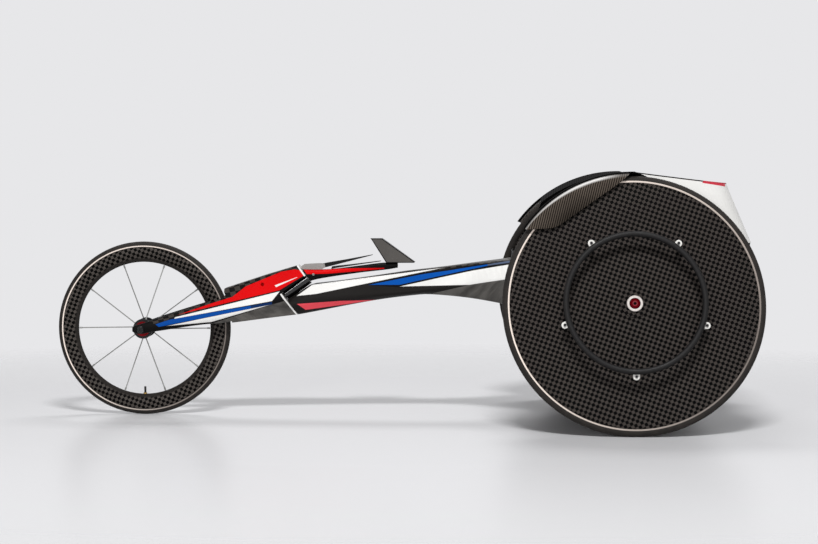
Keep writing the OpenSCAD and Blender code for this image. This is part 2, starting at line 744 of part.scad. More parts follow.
module rear_bearings() {
    for (side = [-1, 1])
        translate([0, 0, side * (hub_seat + hub_bearing_w / 2)])
            difference() {
                cylinder(h = hub_bearing_w - seat_gap, r = hub_bearing_d / 2 - seat_gap / 2, center = true,
                    $fn = tube_fn);
                cylinder(h = hub_bearing_w + cut_over, r = axle_d / 2 + run_gap, center = true,
                    $fn = tube_fn);
            }
}

module hub_ring() {
    inner = axle_cap_d / 2 + pass_gap;
    outer = hub_ring_d / 2;
    low = hub_half + seat_gap;
    high = hub_half + hub_ring_t;
    bevel = hub_ring_t * 0.2;
    rotate_extrude($fn = tube_fn)
        polygon([[inner, low], [outer, low], [outer, high - bevel], [outer - bevel, high], [inner, high]]);
}

module push_ring(grow) {
    translate([0, 0, push_rim_off])
        rotate_extrude($fn = wheel_fn)
            translate([push_ring_r, 0])
                circle(r = push_tube_d / 2 + grow, $fn = small_fn);
}

module push_tabs() {
    low = tab_off - tab_t / 2;
    for (k = [0 : tab_count - 1])
        rotate([0, 0, tab_first_angle + k * 360 / tab_count])
            difference() {
                union() {
                    translate([tab_bolt_r, 0, low])
                        cylinder(h = tab_t, r = tab_w / 2, $fn = small_fn);
                    translate([push_ring_r, -tab_w / 2, low])
                        cube([tab_bolt_r - push_ring_r, tab_w, tab_t]);
                    translate([tab_bolt_r, 0, 0])
                        cylinder(h = tab_off, r = tab_spacer_d / 2, $fn = small_fn);
                }
                push_ring(seat_gap);
                disc_fill();
                translate([tab_bolt_r, 0, tab_off - tab_screw_grip])
                    cylinder(h = tab_screw_grip + cut_over, r = tab_screw_d / 2 + seat_gap, $fn = small_fn);
            }
}

module tab_screws() {
    top = tab_off + tab_t / 2 + seat_gap;
    for (k = [0 : tab_count - 1])
        rotate([0, 0, tab_first_angle + k * 360 / tab_count])
            translate([tab_bolt_r, 0, 0])
                difference() {
                    union() {
                        translate([0, 0, tab_off - tab_screw_grip + seat_gap])
                            cylinder(h = top - tab_off + tab_screw_grip, r = tab_screw_d / 2, $fn = small_fn);
                        translate([0, 0, top])
                            cylinder(h = tab_screw_head, r = tab_screw_head, $fn = small_fn);
                    }
                    translate([0, 0, top + tab_screw_head / 2])
                        cylinder(h = tab_screw_head, r = tab_screw_head / 2, $fn = 6);
                }
}

// front wheel pieces
module front_tyre() {
    color("dimgray")
        at_front_wheel()
            rotate_extrude($fn = wheel_fn)
                translate([front_r - front_tyre_r, 0])
                    circle(r = front_tyre_r, $fn = tube_fn);
}

module front_rim() {
    color("black")
        at_front_wheel()
            rotate_extrude($fn = wheel_fn)
                difference() {
                    union() {
                        translate([front_rim_r + front_nose_r, 0])
                            circle(r = front_nose_r, $fn = small_fn);
                        polygon([[front_rim_r + front_nose_r, -front_nose_r],
                            [front_rim_mid_r, -front_rim_w / 2],
                            [front_edge_r, -front_rim_edge_w / 2], [front_edge_r, front_rim_edge_w / 2],
                            [front_rim_mid_r, front_rim_w / 2], [front_rim_r + front_nose_r, front_nose_r]]);
                    }
                    translate([front_r - front_tyre_r, 0])
                        circle(r = front_tyre_r + seat_gap, $fn = tube_fn);
                }
}

module front_hub() {
    half = front_hub_len / 2;
    low = front_flange_gap / 2;
    high = low + front_flange_t;
    barrel = front_barrel_d / 2;
    bearing = front_bearing_d / 2;
    color("black")
        at_front_wheel()
            rotate_extrude($fn = tube_fn)
                polygon([[bearing, -half], [barrel, -half], [barrel, -high], [front_flange_r, -high],
                    [front_flange_r, -low], [barrel, -low], [barrel, low], [front_flange_r, low],
                    [front_flange_r, high], [barrel, high], [barrel, half], [bearing, half],
                    [bearing, front_seat],
                    [front_core_r, front_seat], [front_core_r, -front_seat], [bearing, -front_seat]]);
}

module front_hub_rings() {
    color("darkred")
        at_front_wheel()
            for (side = [-1, 1])
                translate([0, 0, side * front_ring_place])
                    difference() {
                        cylinder(h = front_ring_t, r = front_ring_d / 2, center = true, $fn = tube_fn);
                        cylinder(h = front_ring_t + cut_over, r = front_barrel_d / 2 + seat_gap,
                            center = true,
                            $fn = tube_fn);
                    }
}

module front_bearings() {
    color("silver")
        at_front_wheel()
            for (side = [-1, 1])
                translate([0, 0, side * (front_seat + front_bearing_w / 2)])
                    difference() {
                        cylinder(h = front_bearing_w - seat_gap, r = (front_bearing_d - seat_gap) / 2,
                            center = true,
                            $fn = tube_fn);
                        cylinder(h = front_bearing_w + cut_over, r = front_axle_d / 2 + run_gap,
                            center = true,
                            $fn = tube_fn);
                    }
}

module front_spokes() {
    color("gray")
        at_front_wheel()
            for (k = [0 : spoke_count - 1])
                rotate([0, 0, k * 360 / spoke_count])
                    translate([front_flange_r + seat_gap, 0, (k % 2 == 0 ? 1 : -1) * front_spoke_off])
                        rotate([0, (k % 2 == 0 ? 1 : -1) * spoke_lean, 0])
                            translate([0, -spoke_w / 2, -spoke_t / 2])
                                cube([spoke_run, spoke_w, spoke_t]);
}

module front_nipples() {
    color("silver")
        at_front_wheel()
            for (k = [0 : spoke_count - 1])
                rotate([0, 0, k * 360 / spoke_count])
                    translate([front_flange_r + seat_gap, 0, (k % 2 == 0 ? 1 : -1) * front_spoke_off])
                        rotate([0, (k % 2 == 0 ? 1 : -1) * spoke_lean, 0])
                            translate([spoke_run + seat_gap, 0, 0])
                                rotate([0, 90, 0])
                                    cylinder(h = nipple_len, r = nipple_d / 2, $fn = small_fn);
}

module valve_stem() {
    color("black")
        at_front_wheel()
            rotate([0, 0, -90])
                translate([front_rim_r - valve_len, 0, 0])
                    rotate([0, 90, 0]) {
                        cylinder(h = valve_len - 1.2 * valve_nut_h, r = valve_d / 2, $fn = small_fn);
                        cylinder(h = valve_len - seat_gap, r = valve_d * 0.45, $fn = small_fn);
                    }
}

module valve_nut() {
    color("goldenrod")
        at_front_wheel()
            rotate([0, 0, -90])
                translate([front_rim_r - valve_nut_h - seat_gap, 0, 0])
                    rotate([0, 90, 0])
                        difference() {
                            cylinder(h = valve_nut_h, r = valve_nut_d / 2, $fn = small_fn);
                            translate([0, 0, -cut_over])
                                cylinder(h = valve_nut_h + 2 * cut_over, r = valve_d * 0.45 + seat_gap,
                                    $fn = small_fn);
                        }
}

// steering pieces
function fork_along(s) = front_axle_x + min(s / crown_share, 1) * crown_r
    + max((s - crown_share) / (1 - crown_share), 0) * (steer_reach - crown_r);

module fork_body() {
    loft([for (s = fork_places)
        section(fork_along(s), front_r + fork_rise * straight(fork_top_shares, s),
            front_r + fork_rise * curve(fork_mid_shares, s), front_r + fork_rise * curve(fork_low_shares, s),
            fork_half_w * straight(fork_top_w_shares, s), fork_half_w * curve(fork_mid_w_shares, s),
            fork_half_w * curve(fork_low_w_shares, s), fork_soft)]);
}

// room for the front wheel between the blades
module wheel_slot() {
    intersection() {
        translate([0, 0, -cut_over])
            linear_extrude(height = front_wheel_d + cut_far)
                polygon([[front_axle_x - front_r, -fork_gap_half], [spacer_back_x, -fork_gap_half],
                    [front_axle_x + crown_r, -crown_gap_half], [front_axle_x + crown_r, crown_gap_half],
                    [spacer_back_x, fork_gap_half], [front_axle_x - front_r, fork_gap_half]]);
        at_front_wheel()
            wheel_bar(-2 * fork_half_w, 2 * fork_half_w, crown_r);
    }
}

module fork() {
    color("red")
        difference() {
            fork_body();
            wheel_slot();
            at_steering() {
                translate([seam_top - seam_gap / 2, -cut_far, -cut_far])
                    cube([cut_far, 2 * cut_far, 2 * cut_far]);
                translate([fork_seam, -cut_far, head_open_half - 2 * cut_far])
                    cube([cut_far, 2 * cut_far, 2 * cut_far]);
                steering_bar(fork_seam, seam_top + cut_over, head_r + pass_gap * 2);
                steering_bar(fork_seam - steerer_root - seat_gap, 0, steerer_r + seat_gap / 2);
            }
            at_front_wheel()
                wheel_bar(-2 * fork_half_w, 2 * fork_half_w, front_axle_d / 2 + seat_gap);
            at_caliper() {
                translate([-pocket_in, -pocket_half_y, -pocket_half_w])
                    cube([pocket_in + pocket_out, 2 * pocket_half_y, 2 * pocket_half_w]);
                rotate([90, 0, 0])
                    cylinder(h = caliper_bolt_len + seat_gap * 2, r = (caliper_bolt_d + seat_gap) / 2,
                        center = true, $fn = small_fn);
            }
            for (side = [-1, 1])
                translate([fork_along(port_shares[0]), side * fork_half_w,
                    front_r + port_shares[1] * fork_rise])
                    rotate([90, 0, 0])
                        cylinder(h = fork_half_w * 1.3, r = port_d / 2, center = true, $fn = small_fn);
        }
}

module steerer_pin() {
    color("silver")
        at_steering()
            steering_bar(fork_seam - steerer_root, seam_top + seam_gap / 2 + steerer_tip, steerer_r);
}

module tiller_body() {
    loft([for (k = [0 : tiller_stations])
        let (
            s = k / tiller_stations,
            top_h = tiller_h + tiller_rise * curve(tiller_top_shares, s),
            low_h = tiller_h + tiller_rise * curve(tiller_low_shares, s),
            w = tiller_half_w * curve(tiller_w_shares, s)
        )
        section(tiller_x0 + s * tiller_len, top_h, (top_h + low_h) / 2, low_h, w * 0.8, w, w * 0.7,
            tiller_soft)]);
}

module tiller() {
    color("darkred")
        difference() {
            tiller_body();
            at_steering() {
                translate([seam_top + seam_gap / 2 - 2 * cut_far, -cut_far, -cut_far])
                    cube([2 * cut_far, 2 * cut_far, 2 * cut_far]);
                steering_bar(0, seam_top + seam_gap / 2 + steerer_tip + seat_gap, steerer_r + seat_gap / 2);
                translate([grub_place, 0, 0])
                    rotate([90, 0, 0])
                        cylinder(h = 4 * tiller_half_w, r = (grub_d + seat_gap) / 2, center = true,
                            $fn = small_fn);
            }
        }
}

module tiller_screws() {
    color("silver")
        at_steering()
            for (side = [-1, 1])
                translate([grub_place, side * (steerer_r + seat_gap), 0])
                    rotate([-side * 90, 0, 0])
                        difference() {
                            cylinder(h = tiller_half_w * 0.82 - steerer_r, r = grub_d / 2, $fn = small_fn);
                            translate([0, 0, tiller_half_w * 0.82 - steerer_r - grub_d * 0.4])
                                cylinder(h = grub_d, r = grub_d * 0.25, $fn = 6);
                        }
}

module steering_fin() {
    color("dimgray")
        intersection() {
            upright(2 * fin_half_w)
                polygon([for (p = fin_shares)
                    [fin_x0 + p[0] * fin_len, tiller_top_h + seat_gap + p[1] * fin_rise]]);
            linear_extrude(height = tiller_top_h + 2 * fin_rise)
                polygon(concat([for (p = fin_plan_shares) [fin_x0 + p[0] * fin_len, -p[1] * fin_half_w]],
                    [for (k = [len(fin_plan_shares) - 1 : -1 : 0])
                        let (p = fin_plan_shares[k])
                        [fin_x0 + p[0] * fin_len, p[1] * fin_half_w]]));
        }
}

module steering_handle() {
    color("black")
        translate([handle_x0, 0, handle_h])
            rotate([0, -handle_slope, 0])
                upright(handle_w / 2)
                    polygon([for (p = handle_shares) [p[0] * handle_len, p[1] * handle_t]]);
}

module lever_bracket() {
    color("silver")
        difference() {
            upright(bracket_half_w)
                polygon([for (p = bracket_shares)
                    [bracket_x0 + p[0] * bracket_len, bracket_h + seat_gap + p[1] * bracket_rise]]);
            at_steering()
                translate([seam_top + seam_gap / 2 - 2 * cut_far, -cut_far, -cut_far])
                    cube([2 * cut_far, 2 * cut_far, 2 * cut_far]);
            translate([lever_pin_x - lever_eye_d * 0.75, -lever_slot_half, bracket_h - cut_over])
                cube([bracket_len, 2 * lever_slot_half, 2 * bracket_rise]);
            translate([lever_pin_x, 0, lever_pin_h])
                rotate([90, 0, 0])
                    cylinder(h = 4 * bracket_half_w, r = lever_pin_d / 2 + seat_gap / 2, center = true,
                        $fn = small_fn);
        }
}

module lever_pin() {
    color("gray")
        translate([lever_pin_x, 0, lever_pin_h])
            rotate([90, 0, 0])
                cylinder(h = 2 * bracket_half_w + lever_pin_d * 0.4, r = lever_pin_d / 2, center = true,
                    $fn = small_fn);
}

module brake_lever() {
    color("black")
        translate([lever_pin_x, 0, lever_pin_h])
            rotate([0, -lever_slope, 0])
                difference() {
                    union() {
                        upright(lever_eye_w / 2)
                            circle(r = lever_eye_d / 2, $fn = tube_fn);
                        upright(lever_eye_w / 2)
                            polygon([for (p = lever_shares) [p[0] * lever_len, p[1] * lever_eye_d]]);
                        intersection() {
                            upright(lever_w / 2)
                                polygon([for (p = lever_shares) [p[0] * lever_len, p[1] * lever_eye_d]]);
                            translate([lever_blade_from, -lever_w, -lever_eye_d])
                                cube([lever_len, 2 * lever_w, 2 * lever_eye_d]);
                        }
                    }
                    rotate([90, 0, 0])
                        cylinder(h = 4 * bracket_half_w, r = lever_pin_d / 2 + run_gap, center = true,
                            $fn = small_fn);
                }
}

module front_axle() {
    r = front_axle_d / 2;
    low = front_hub_len / 2 + pass_gap;
    end = fork_half_w + axle_nut_t * 0.5;
    color("silver")
        at_front_wheel()
            rotate_extrude($fn = tube_fn)
                polygon([[0, -end], [r, -end], [r, -spacer_end], [front_shoulder_r, -spacer_end],
                    [front_shoulder_r, -low], [r, -low], [r, low], [front_shoulder_r, low],
                    [front_shoulder_r, spacer_end], [r, spacer_end], [r, end], [0, end]]);
}

module front_axle_nuts() {
    low = fork_half_w + seat_gap;
    color("black")
        at_front_wheel()
            for (side = [-1, 1])
                rotate([side > 0 ? 0 : 180, 0, 0])
                    difference() {
                        rotate_extrude($fn = tube_fn)
                            polygon([[0, low], [axle_nut_d / 2, low],
                                [axle_nut_d / 2, low + axle_nut_t * 0.55],
                                [axle_nut_d * 0.4, low + axle_nut_t], [0, low + axle_nut_t]]);
                        wheel_bar(0, fork_half_w + axle_nut_t * 0.5 + seat_gap, front_axle_d / 2 + seat_gap);
                        translate([0, 0, low + axle_nut_t * 0.7])
                            cylinder(h = axle_nut_t, r = axle_nut_d * 0.17, $fn = 6);
                    }
}

// front brake pieces
module caliper_bolt() {
    color("silver")
        at_caliper()
            rotate([90, 0, 0])
                cylinder(h = caliper_bolt_len, r = caliper_bolt_d / 2, center = true, $fn = small_fn);
}

// one caliper arm, lying across the caliper bolt
module caliper_arm(layer) {
    translate([0, layer + caliper_arm_t / 2, 0])
        rotate([90, 0, 0])
            linear_extrude(height = caliper_arm_t)
                difference() {
                    union() {
                        circle(r = caliper_eye_r, $fn = tube_fn);
                        polygon([[caliper_eye_r, 0], [caliper_eye_r, arm_in * 0.4], [0, arm_out],
                            [-caliper_drop, arm_out], [-caliper_drop, arm_in], [-caliper_eye_r * 1.8, arm_in],
                            [-caliper_eye_r, arm_in * 0.4], [-caliper_eye_r, 0]]);
                    }
                    circle(r = caliper_bolt_d / 2 + run_gap, $fn = small_fn);
                }
}

module brake_pad(side) {
    at_caliper()
        translate([-caliper_drop, -pad_len / 2, side > 0 ? pad_in : -pad_in - pad_t])
            cube([pad_h, pad_len, pad_t]);
}

// frame pieces
module boom_body() {
    loft([for (k = [0 : boom_stations])
        let (
            s = k / boom_stations,
            tail = max((s - boom_front_share) / (1 - boom_front_share), 0),
            along = min(s / boom_front_share, 1) * boom_front + tail * (boom_len - boom_front),
            low_h = boom_h + boom_lift * tail * tail
        )
        section(boom_x0 + along, low_h + boom_rise * curve(boom_top_shares, s),
            low_h + boom_rise * curve(boom_mid_shares, s), low_h + boom_rise * curve(boom_low_shares, s),
            boom_half_w * curve(boom_top_w_shares, s), boom_half_w * curve(boom_mid_w_shares, s),
            boom_half_w * curve(boom_low_w_shares, s), boom_soft)]);
}

module boom() {
    color("white")
        difference() {
            boom_body();
            at_steering() {
                translate([boom_seam - 2 * cut_far, -cut_far, -cut_far])
                    cube([2 * cut_far, 2 * cut_far, 2 * cut_far]);
                translate([-cut_far, -cut_far, -head_open_half])
                    cube([cut_far + seam_top + seam_gap, 2 * cut_far, cut_far]);
                steering_bar(boom_seam - cut_over, seam_top + seam_gap, head_r + seat_gap);
            }
        }
}

module head_tube() {
    color("black")
        at_steering()
            difference() {
                steering_bar(head_low, head_top, head_r);
                steering_bar(head_low - cut_over, head_low + head_bearing_w, head_bearing_d / 2);
                steering_bar(head_top - head_bearing_w, head_top + cut_over, head_bearing_d / 2);
                steering_bar(head_low, head_top, steerer_r + pass_gap * 2);
            }
}

module head_bearings() {
    color("gray")
        at_steering()
            for (from = [head_low, head_top - head_bearing_w + seat_gap])
                difference() {
                    steering_bar(from, from + head_bearing_w - seat_gap, head_bearing_d / 2 - seat_gap / 2);
                    steering_bar(from - cut_over, from + head_bearing_w + cut_over, steerer_r + run_gap);
                }
}

module seat_tub() {
    outer = [for (k = [0 : 4])
        let (a = 90 * k / 4)
        tub_ring(tub_soft * (1 - cos(a)) / (tub_rim_h - tub_h), tub_soft * (1 - sin(a)), tub_h)];
    walls = [for (k = [1 : tub_stations])
        let (t = tub_soft / (tub_rim_h - tub_h))
        tub_ring(t + (1 - t) * k / tub_stations, 0, tub_h)];
    backs = [for (k = [tub_stations : -1 : 1])
        let (t = tub_soft / (tub_rim_h - tub_h))
        tub_ring(t + (1 - t) * k / tub_stations, tub_t, floor_top)];
    inner = [for (k = [4 : -1 : 0])
        let (a = 90 * k / 4)
        tub_ring(tub_soft * (1 - cos(a)) / (tub_rim_h - tub_h), tub_t + tub_soft * (1 - sin(a)), floor_top)];
    color("black")
        loft(concat(outer, walls, backs, inner));
}

// top of the fairing at x measured from the rear axle
function fairing_h(x) =
    let (share = (x - fairing_front) / (tub_back - fairing_front))
    fairing_top_h - fairing_drop * curve(fairing_top_shares, share);

// plan path of the fairing from the left front edge round the back, drawn in by inset, leaning by share t
function fairing_path(inset, back_x, corner_r) =
    concat(
        [for (k = [0 : fairing_cols - 1])
            [fairing_front + (back_x - corner_r - fairing_front) * k / fairing_cols, -1, 0]],
        [for (k = [0 : fairing_cols])
            let (a = 90 * k / fairing_cols)
            [back_x - corner_r + (corner_r - inset) * sin(a), -1,
            (corner_r - inset) * (1 - cos(a)) + inset]]);

// half width on the path at height z, for one side
function fairing_point(p, t, from_h, to_h) =
    let (z = from_h + (to_h - from_h) * t)
    [rear_axle_x + p[0], p[1] * (side_w(z) - p[2]), z];

// grid of the fairing's outside or inside
function fairing_grid(inset, low, lift) =
    [for (r = [0 : fairing_rows])
        let (
            t = r / fairing_rows,
            path = fairing_path(inset, tub_back - fairing_lean * t, fairing_corner_r),
            half = [for (p = path) [p[0], p[1], p[2] < inset ? inset : p[2]]]
        )
        concat(
            [for (p = half) fairing_point(p, t, low, fairing_h(p[0]) + lift)],
            [for (k = [len(half) - 1 : -1 : 0])
                let (p = half[k])
                fairing_point([p[0], 1, p[2]], t, low, fairing_h(p[0]) + lift)])];

module rear_fairing() {
    color("white")
        sheet(fairing_grid(0, fairing_low_h, 0), fairing_grid(fairing_t, fairing_low_h, 0));
}

module fairing_trim() {
    outer = fairing_grid(0, fairing_low_h, seat_gap)[fairing_rows];
    inner = fairing_grid(fairing_t, fairing_low_h, seat_gap)[fairing_rows];
    color("black")
        sheet([outer, [for (p = outer) p + [0, 0, trim_t]]], [inner, [for (p = inner) p + [0, 0, trim_t]]]);
}

// fender roll and leaf round the wheel's axis, with the flat side guard
module fender_body() {
    out = fender_reach;
    inner = out - guard_t;
    difference() {
        rotate([0, 0, fender_tail_angle])
            rotate_extrude(angle = fender_tip_angle - fender_tail_angle, $fn = wheel_fn)
                polygon([[fender_r, -guard_in], [guard_rim_r, -guard_in], [guard_rim_r, out - fender_fold],
                    [guard_rim_r - fender_fold * 0.25, out - fender_fold * 0.3],
                    [guard_rim_r - fender_fold, out],
                    [rear_r * 0.75, out], [rear_r * 0.75, inner], [fender_r - fender_fold, inner],
                    [fender_r - fender_fold * 0.3, inner - fender_fold * 0.3],
                    [fender_r, inner - fender_fold]]);
        translate([0, 0, inner - cut_over])
            linear_extrude(height = guard_t + 2 * cut_over)
                polygon(concat([for (p = leaf_shares) p * rear_r], [[leaf_shares[4][0] * rear_r, 0],
                    [leaf_shares[0][0] * rear_r, 0]]));
        rotate([0, 0, guard_tip_angle])
            translate([0, 0, -2 * guard_in])
                cube([2 * rear_r, 2 * rear_r, 2 * guard_in + inner - fender_fold]);
        rotate([90, 0, 0])
            translate([0, 0, -2 * rear_r])
                linear_extrude(height = 2 * rear_r)
                    polygon([[0, out + cut_over], [0, out], [rear_r * 0.13, -guard_off + guard_t],
                        [2 * rear_r, -guard_off + guard_t], [2 * rear_r, out + cut_over]]);
    }
    translate([0, 0, -guard_in])
        linear_extrude(height = guard_t)
            polygon(concat([for (p = guard_shares) p * rear_r],
                [for (k = [0 : 12])
                    let (a = guard_tip_angle - (guard_tip_angle - fender_tail_angle) * k / 12)
                    [guard_rim_r * cos(a), guard_rim_r * sin(a)]],
                [for (p = guard_tail_shares) p * rear_r]));
}

module guard_holes() {
    for (p = guard_screw_shares)
        translate([p[0] * rear_r, p[1] * rear_r, -guard_in - cut_over])
            cylinder(h = guard_t + 2 * cut_over, r = guard_screw_d * 0.25 + seat_gap, $fn = small_fn);
}

module fender() {
    difference() {
        fender_body();
        guard_holes();
    }
}

module guard_screws() {
    for (p = guard_screw_shares)
        translate([p[0] * rear_r, p[1] * rear_r, -guard_off + seat_gap])
            difference() {
                union() {
                    translate([0, 0, -guard_t])
                        cylinder(h = guard_t, r = guard_screw_d * 0.25, $fn = small_fn);
                    cylinder(h = guard_screw_d * 0.28, r1 = guard_screw_d / 2, r2 = guard_screw_d * 0.36,
                        $fn = small_fn);
                }
                translate([0, 0, guard_screw_d * 0.12])
                    cylinder(h = guard_screw_d, r = guard_screw_d * 0.17, $fn = 6);
            }
}

module fender_screws() {
    color("silver") {
        at_left_wheel()
            guard_screws();
        at_right_wheel()
            guard_screws();
    }
}

module axle_keel() {
    top = tub_h - seat_gap;
    color("black")
        difference() {
            loft([for (k = [0 : keel_stations])
                let (
                    s = k / keel_stations,
                    low = top - keel_drop * curve(keel_low_shares, s),
                    w = keel_half_w * curve(keel_w_shares, s)
                )
                section(keel_x0 + s * keel_len, top, (top + low) / 2, low, w * 0.9, w, w * 0.72, boom_soft)]);
            at_left_wheel()
                wheel_bar(-axle_tube_in - seat_gap, 0, axle_tube_d / 2 + seat_gap);
            at_right_wheel()
                wheel_bar(-axle_tube_in - seat_gap, 0, axle_tube_d / 2 + seat_gap);
        }
}

module axle_tube() {
    difference() {
        wheel_bar(-axle_tube_in, -axle_tube_end - plug_lip - seat_gap, axle_tube_d / 2);
        wheel_bar(-axle_tube_in - cut_over, 0, axle_tube_d / 2 - axle_tube_t);
    }
}

module axle_plug() {
    difference() {
        union() {
            wheel_bar(-axle_tube_end - plug_lip, -axle_tube_end, axle_tube_d / 2);
            wheel_bar(-axle_tube_end - plug_lip - plug_len, -axle_tube_end, plug_r - seat_gap);
        }
        wheel_bar(-axle_tube_end - 2 * plug_len, 0, axle_d / 2 + seat_gap / 10);
    }
}

module axle_plugs() {
    color("silver") {
        at_left_wheel()
            axle_plug();
        at_right_wheel()
            axle_plug();
    }
}

module axle_pin() {
    r = axle_d / 2;
    low = axle_tube_end + plug_lip + plug_len;
    shoulder = hub_seat + hub_bearing_w + pass_gap;
    rotate_extrude($fn = tube_fn)
        polygon([[0, -low], [r, -low], [r, -axle_tube_end + seat_gap],
            [axle_shoulder_r, -axle_tube_end + seat_gap],
            [axle_shoulder_r, -shoulder], [r, -shoulder], [r, hub_half], [0, hub_half]]);
}

module axle_pins() {
    color("silver") {
        at_left_wheel()
            axle_pin();
        at_right_wheel()
            axle_pin();
    }
}

module axle_cap() {
    low = hub_half + seat_gap;
    high = low + axle_cap_t;
    r = axle_cap_d / 2;
    difference() {
        rotate_extrude($fn = tube_fn)
            polygon([[0, low], [r, low], [r, high - axle_cap_chamfer], [r - axle_cap_chamfer, high],
                [0, high]]);
        translate([0, 0, low + axle_cap_t * 0.35])
            cylinder(h = axle_cap_t, r = axle_hex_w / 2 / cos(30), $fn = 6);
    }
}

module axle_caps() {
    color("darkred") {
        at_left_wheel()
            axle_cap();
        at_right_wheel()
            axle_cap();
    }
}

// padded piece with a crown, rounded corners and drawn-in sides
module pad(x0, length, half_w, low, thick, corner_r) {
    mid_x = x0 + length / 2;
    loft([for (v = pad_shares)
        [for (p = tub_plan(-length / 2, length / 2, half_w, corner_r))
            [mid_x + p[0] * v[1], p[1] * half_w * v[1], low + v[0] * thick]]]);
}

module seat_cushion() {
    color("dimgray")
        pad(seat_x0, seat_len, seat_half_w, floor_top + soft_gap, seat_t, tub_corner_r * 0.5);
}

module knee_pad() {
    color("dimgray")
        pad(knee_x0, knee_len, knee_half_w, floor_top + soft_gap, knee_t, tub_corner_r * 0.6);
}

module fender_left() {
    color("black")
        at_left_wheel()
            fender();
}

module fender_right() {
    color("black")
        at_right_wheel()
            fender();
}

module axle_tube_left() {
    color("gray")
        at_left_wheel()
            axle_tube();
}

module axle_tube_right() {
    color("gray")
        at_right_wheel()
            axle_tube();
}

module caliper_arm_left() {
    color("gray")
        at_caliper()
            caliper_arm(arm_layer);
}

module caliper_arm_right() {
    color("gray")
        at_caliper()
            mirror([0, 0, 1])
                caliper_arm(-arm_layer);
}

module brake_pad_left() {
    color("black")
        brake_pad(1);
}

module brake_pad_right() {
    color("black")
        brake_pad(-1);
}

module tyre_left() {
    color("dimgray")
        at_left_wheel()
            rear_tyre();
}

module disc_left() {
    color("black")
        at_left_wheel()
            rear_disc();
}

module hub_left() {
    color("gray")
        at_left_wheel()
            rear_hub();
}

module hub_bearings_left() {
    color("silver")
        at_left_wheel()
            rear_bearings();
}

module hub_ring_left() {
    color("silver")
        at_left_wheel()
            hub_ring();
}

module push_rim_left() {
    color("dimgray")
        at_left_wheel()
            push_ring(0);
}

module push_rim_tabs_left() {
    color("white")
        at_left_wheel()
            push_tabs();
}

module tab_screws_left() {
    color("gray")
        at_left_wheel()
            tab_screws();
}

module tyre_right() {
    color("dimgray")
        at_right_wheel()
            rear_tyre();
}

module disc_right() {
    color("black")
        at_right_wheel()
            rear_disc();
}

module hub_right() {
    color("gray")
        at_right_wheel()
            rear_hub();
}

module hub_bearings_right() {
    color("silver")
        at_right_wheel()
            rear_bearings();
}

module hub_ring_right() {
    color("silver")
        at_right_wheel()
            hub_ring();
}

module push_rim_right() {
    color("dimgray")
        at_right_wheel()
            push_ring(0);
}

module push_rim_tabs_right() {
    color("white")
        at_right_wheel()
            push_tabs();
}

module tab_screws_right() {
    color("gray")
        at_right_wheel()
            tab_screws();
}

boom();
head_tube();
head_bearings();
seat_tub();
rear_fairing();
fairing_trim();
fender_left();
fender_right();
fender_screws();
axle_keel();
axle_tube_left();
axle_tube_right();
axle_plugs();
axle_pins();
axle_caps();
seat_cushion();
knee_pad();
fork();
steerer_pin();
tiller();
tiller_screws();
steering_fin();
steering_handle();
lever_bracket();
lever_pin();
front_axle();
front_axle_nuts();
caliper_bolt();
brake_lever();
caliper_arm_left();
caliper_arm_right();
brake_pad_left();
brake_pad_right();
front_tyre();
front_rim();
front_hub();
front_hub_rings();
front_bearings();
front_spokes();
front_nipples();
valve_stem();
valve_nut();
tyre_left();
disc_left();
hub_left();
hub_bearings_left();
hub_ring_left();
push_rim_left();
push_rim_tabs_left();
tab_screws_left();
tyre_right();
disc_right();
hub_right();
hub_bearings_right();
hub_ring_right();
push_rim_right();
push_rim_tabs_right();
tab_screws_right();
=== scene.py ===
"""Racing wheelchair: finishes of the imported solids, padded pieces, studio and camera.

Lengths are in metres unless a name ends in _mm or _MM. +X points to the rear, -Y to the near side, +Z up.
"""

import math

import bpy
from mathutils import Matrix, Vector


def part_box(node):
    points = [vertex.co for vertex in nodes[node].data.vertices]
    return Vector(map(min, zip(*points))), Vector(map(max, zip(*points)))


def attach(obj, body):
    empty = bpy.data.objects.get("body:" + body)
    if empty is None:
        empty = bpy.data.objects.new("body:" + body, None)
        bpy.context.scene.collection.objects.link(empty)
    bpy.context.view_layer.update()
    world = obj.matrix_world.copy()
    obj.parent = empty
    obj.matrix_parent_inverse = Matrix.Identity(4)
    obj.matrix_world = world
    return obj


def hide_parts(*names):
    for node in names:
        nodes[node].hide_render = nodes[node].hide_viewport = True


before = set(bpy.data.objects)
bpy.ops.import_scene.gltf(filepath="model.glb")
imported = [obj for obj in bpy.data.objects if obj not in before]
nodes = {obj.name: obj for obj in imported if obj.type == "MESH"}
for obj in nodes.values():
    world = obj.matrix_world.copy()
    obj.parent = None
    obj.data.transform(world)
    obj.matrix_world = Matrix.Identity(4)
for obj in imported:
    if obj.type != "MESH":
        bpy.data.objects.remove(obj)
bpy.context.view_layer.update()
scene = bpy.context.scene

MM = 0.001
# PER_MM divided by a size in millimetres is the scale of a texture
PER_MM = 1000

# Places of the wheels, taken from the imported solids
CAMBER = math.radians(12)
SIDES = {"left": -1, "right": 1}


def middle_of(node):
    """Centre of a node's box."""
    low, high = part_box(node)
    return (low + high) / 2


FRONT_HUB = middle_of("front_tyre")
REAR_HUBS = {side: middle_of(f"tyre_{side}") for side in SIDES}


def srgb(hex_colour):
    """Linear RGBA of an sRGB hex colour."""
    channels = [int(hex_colour[i:i + 2], 16) / 255 for i in (1, 3, 5)]
    linear = [c / 12.92 if c <= 0.04045 else ((c + 0.055) / 1.055) ** 2.4 for c in channels]
    return (*linear, 1.0)


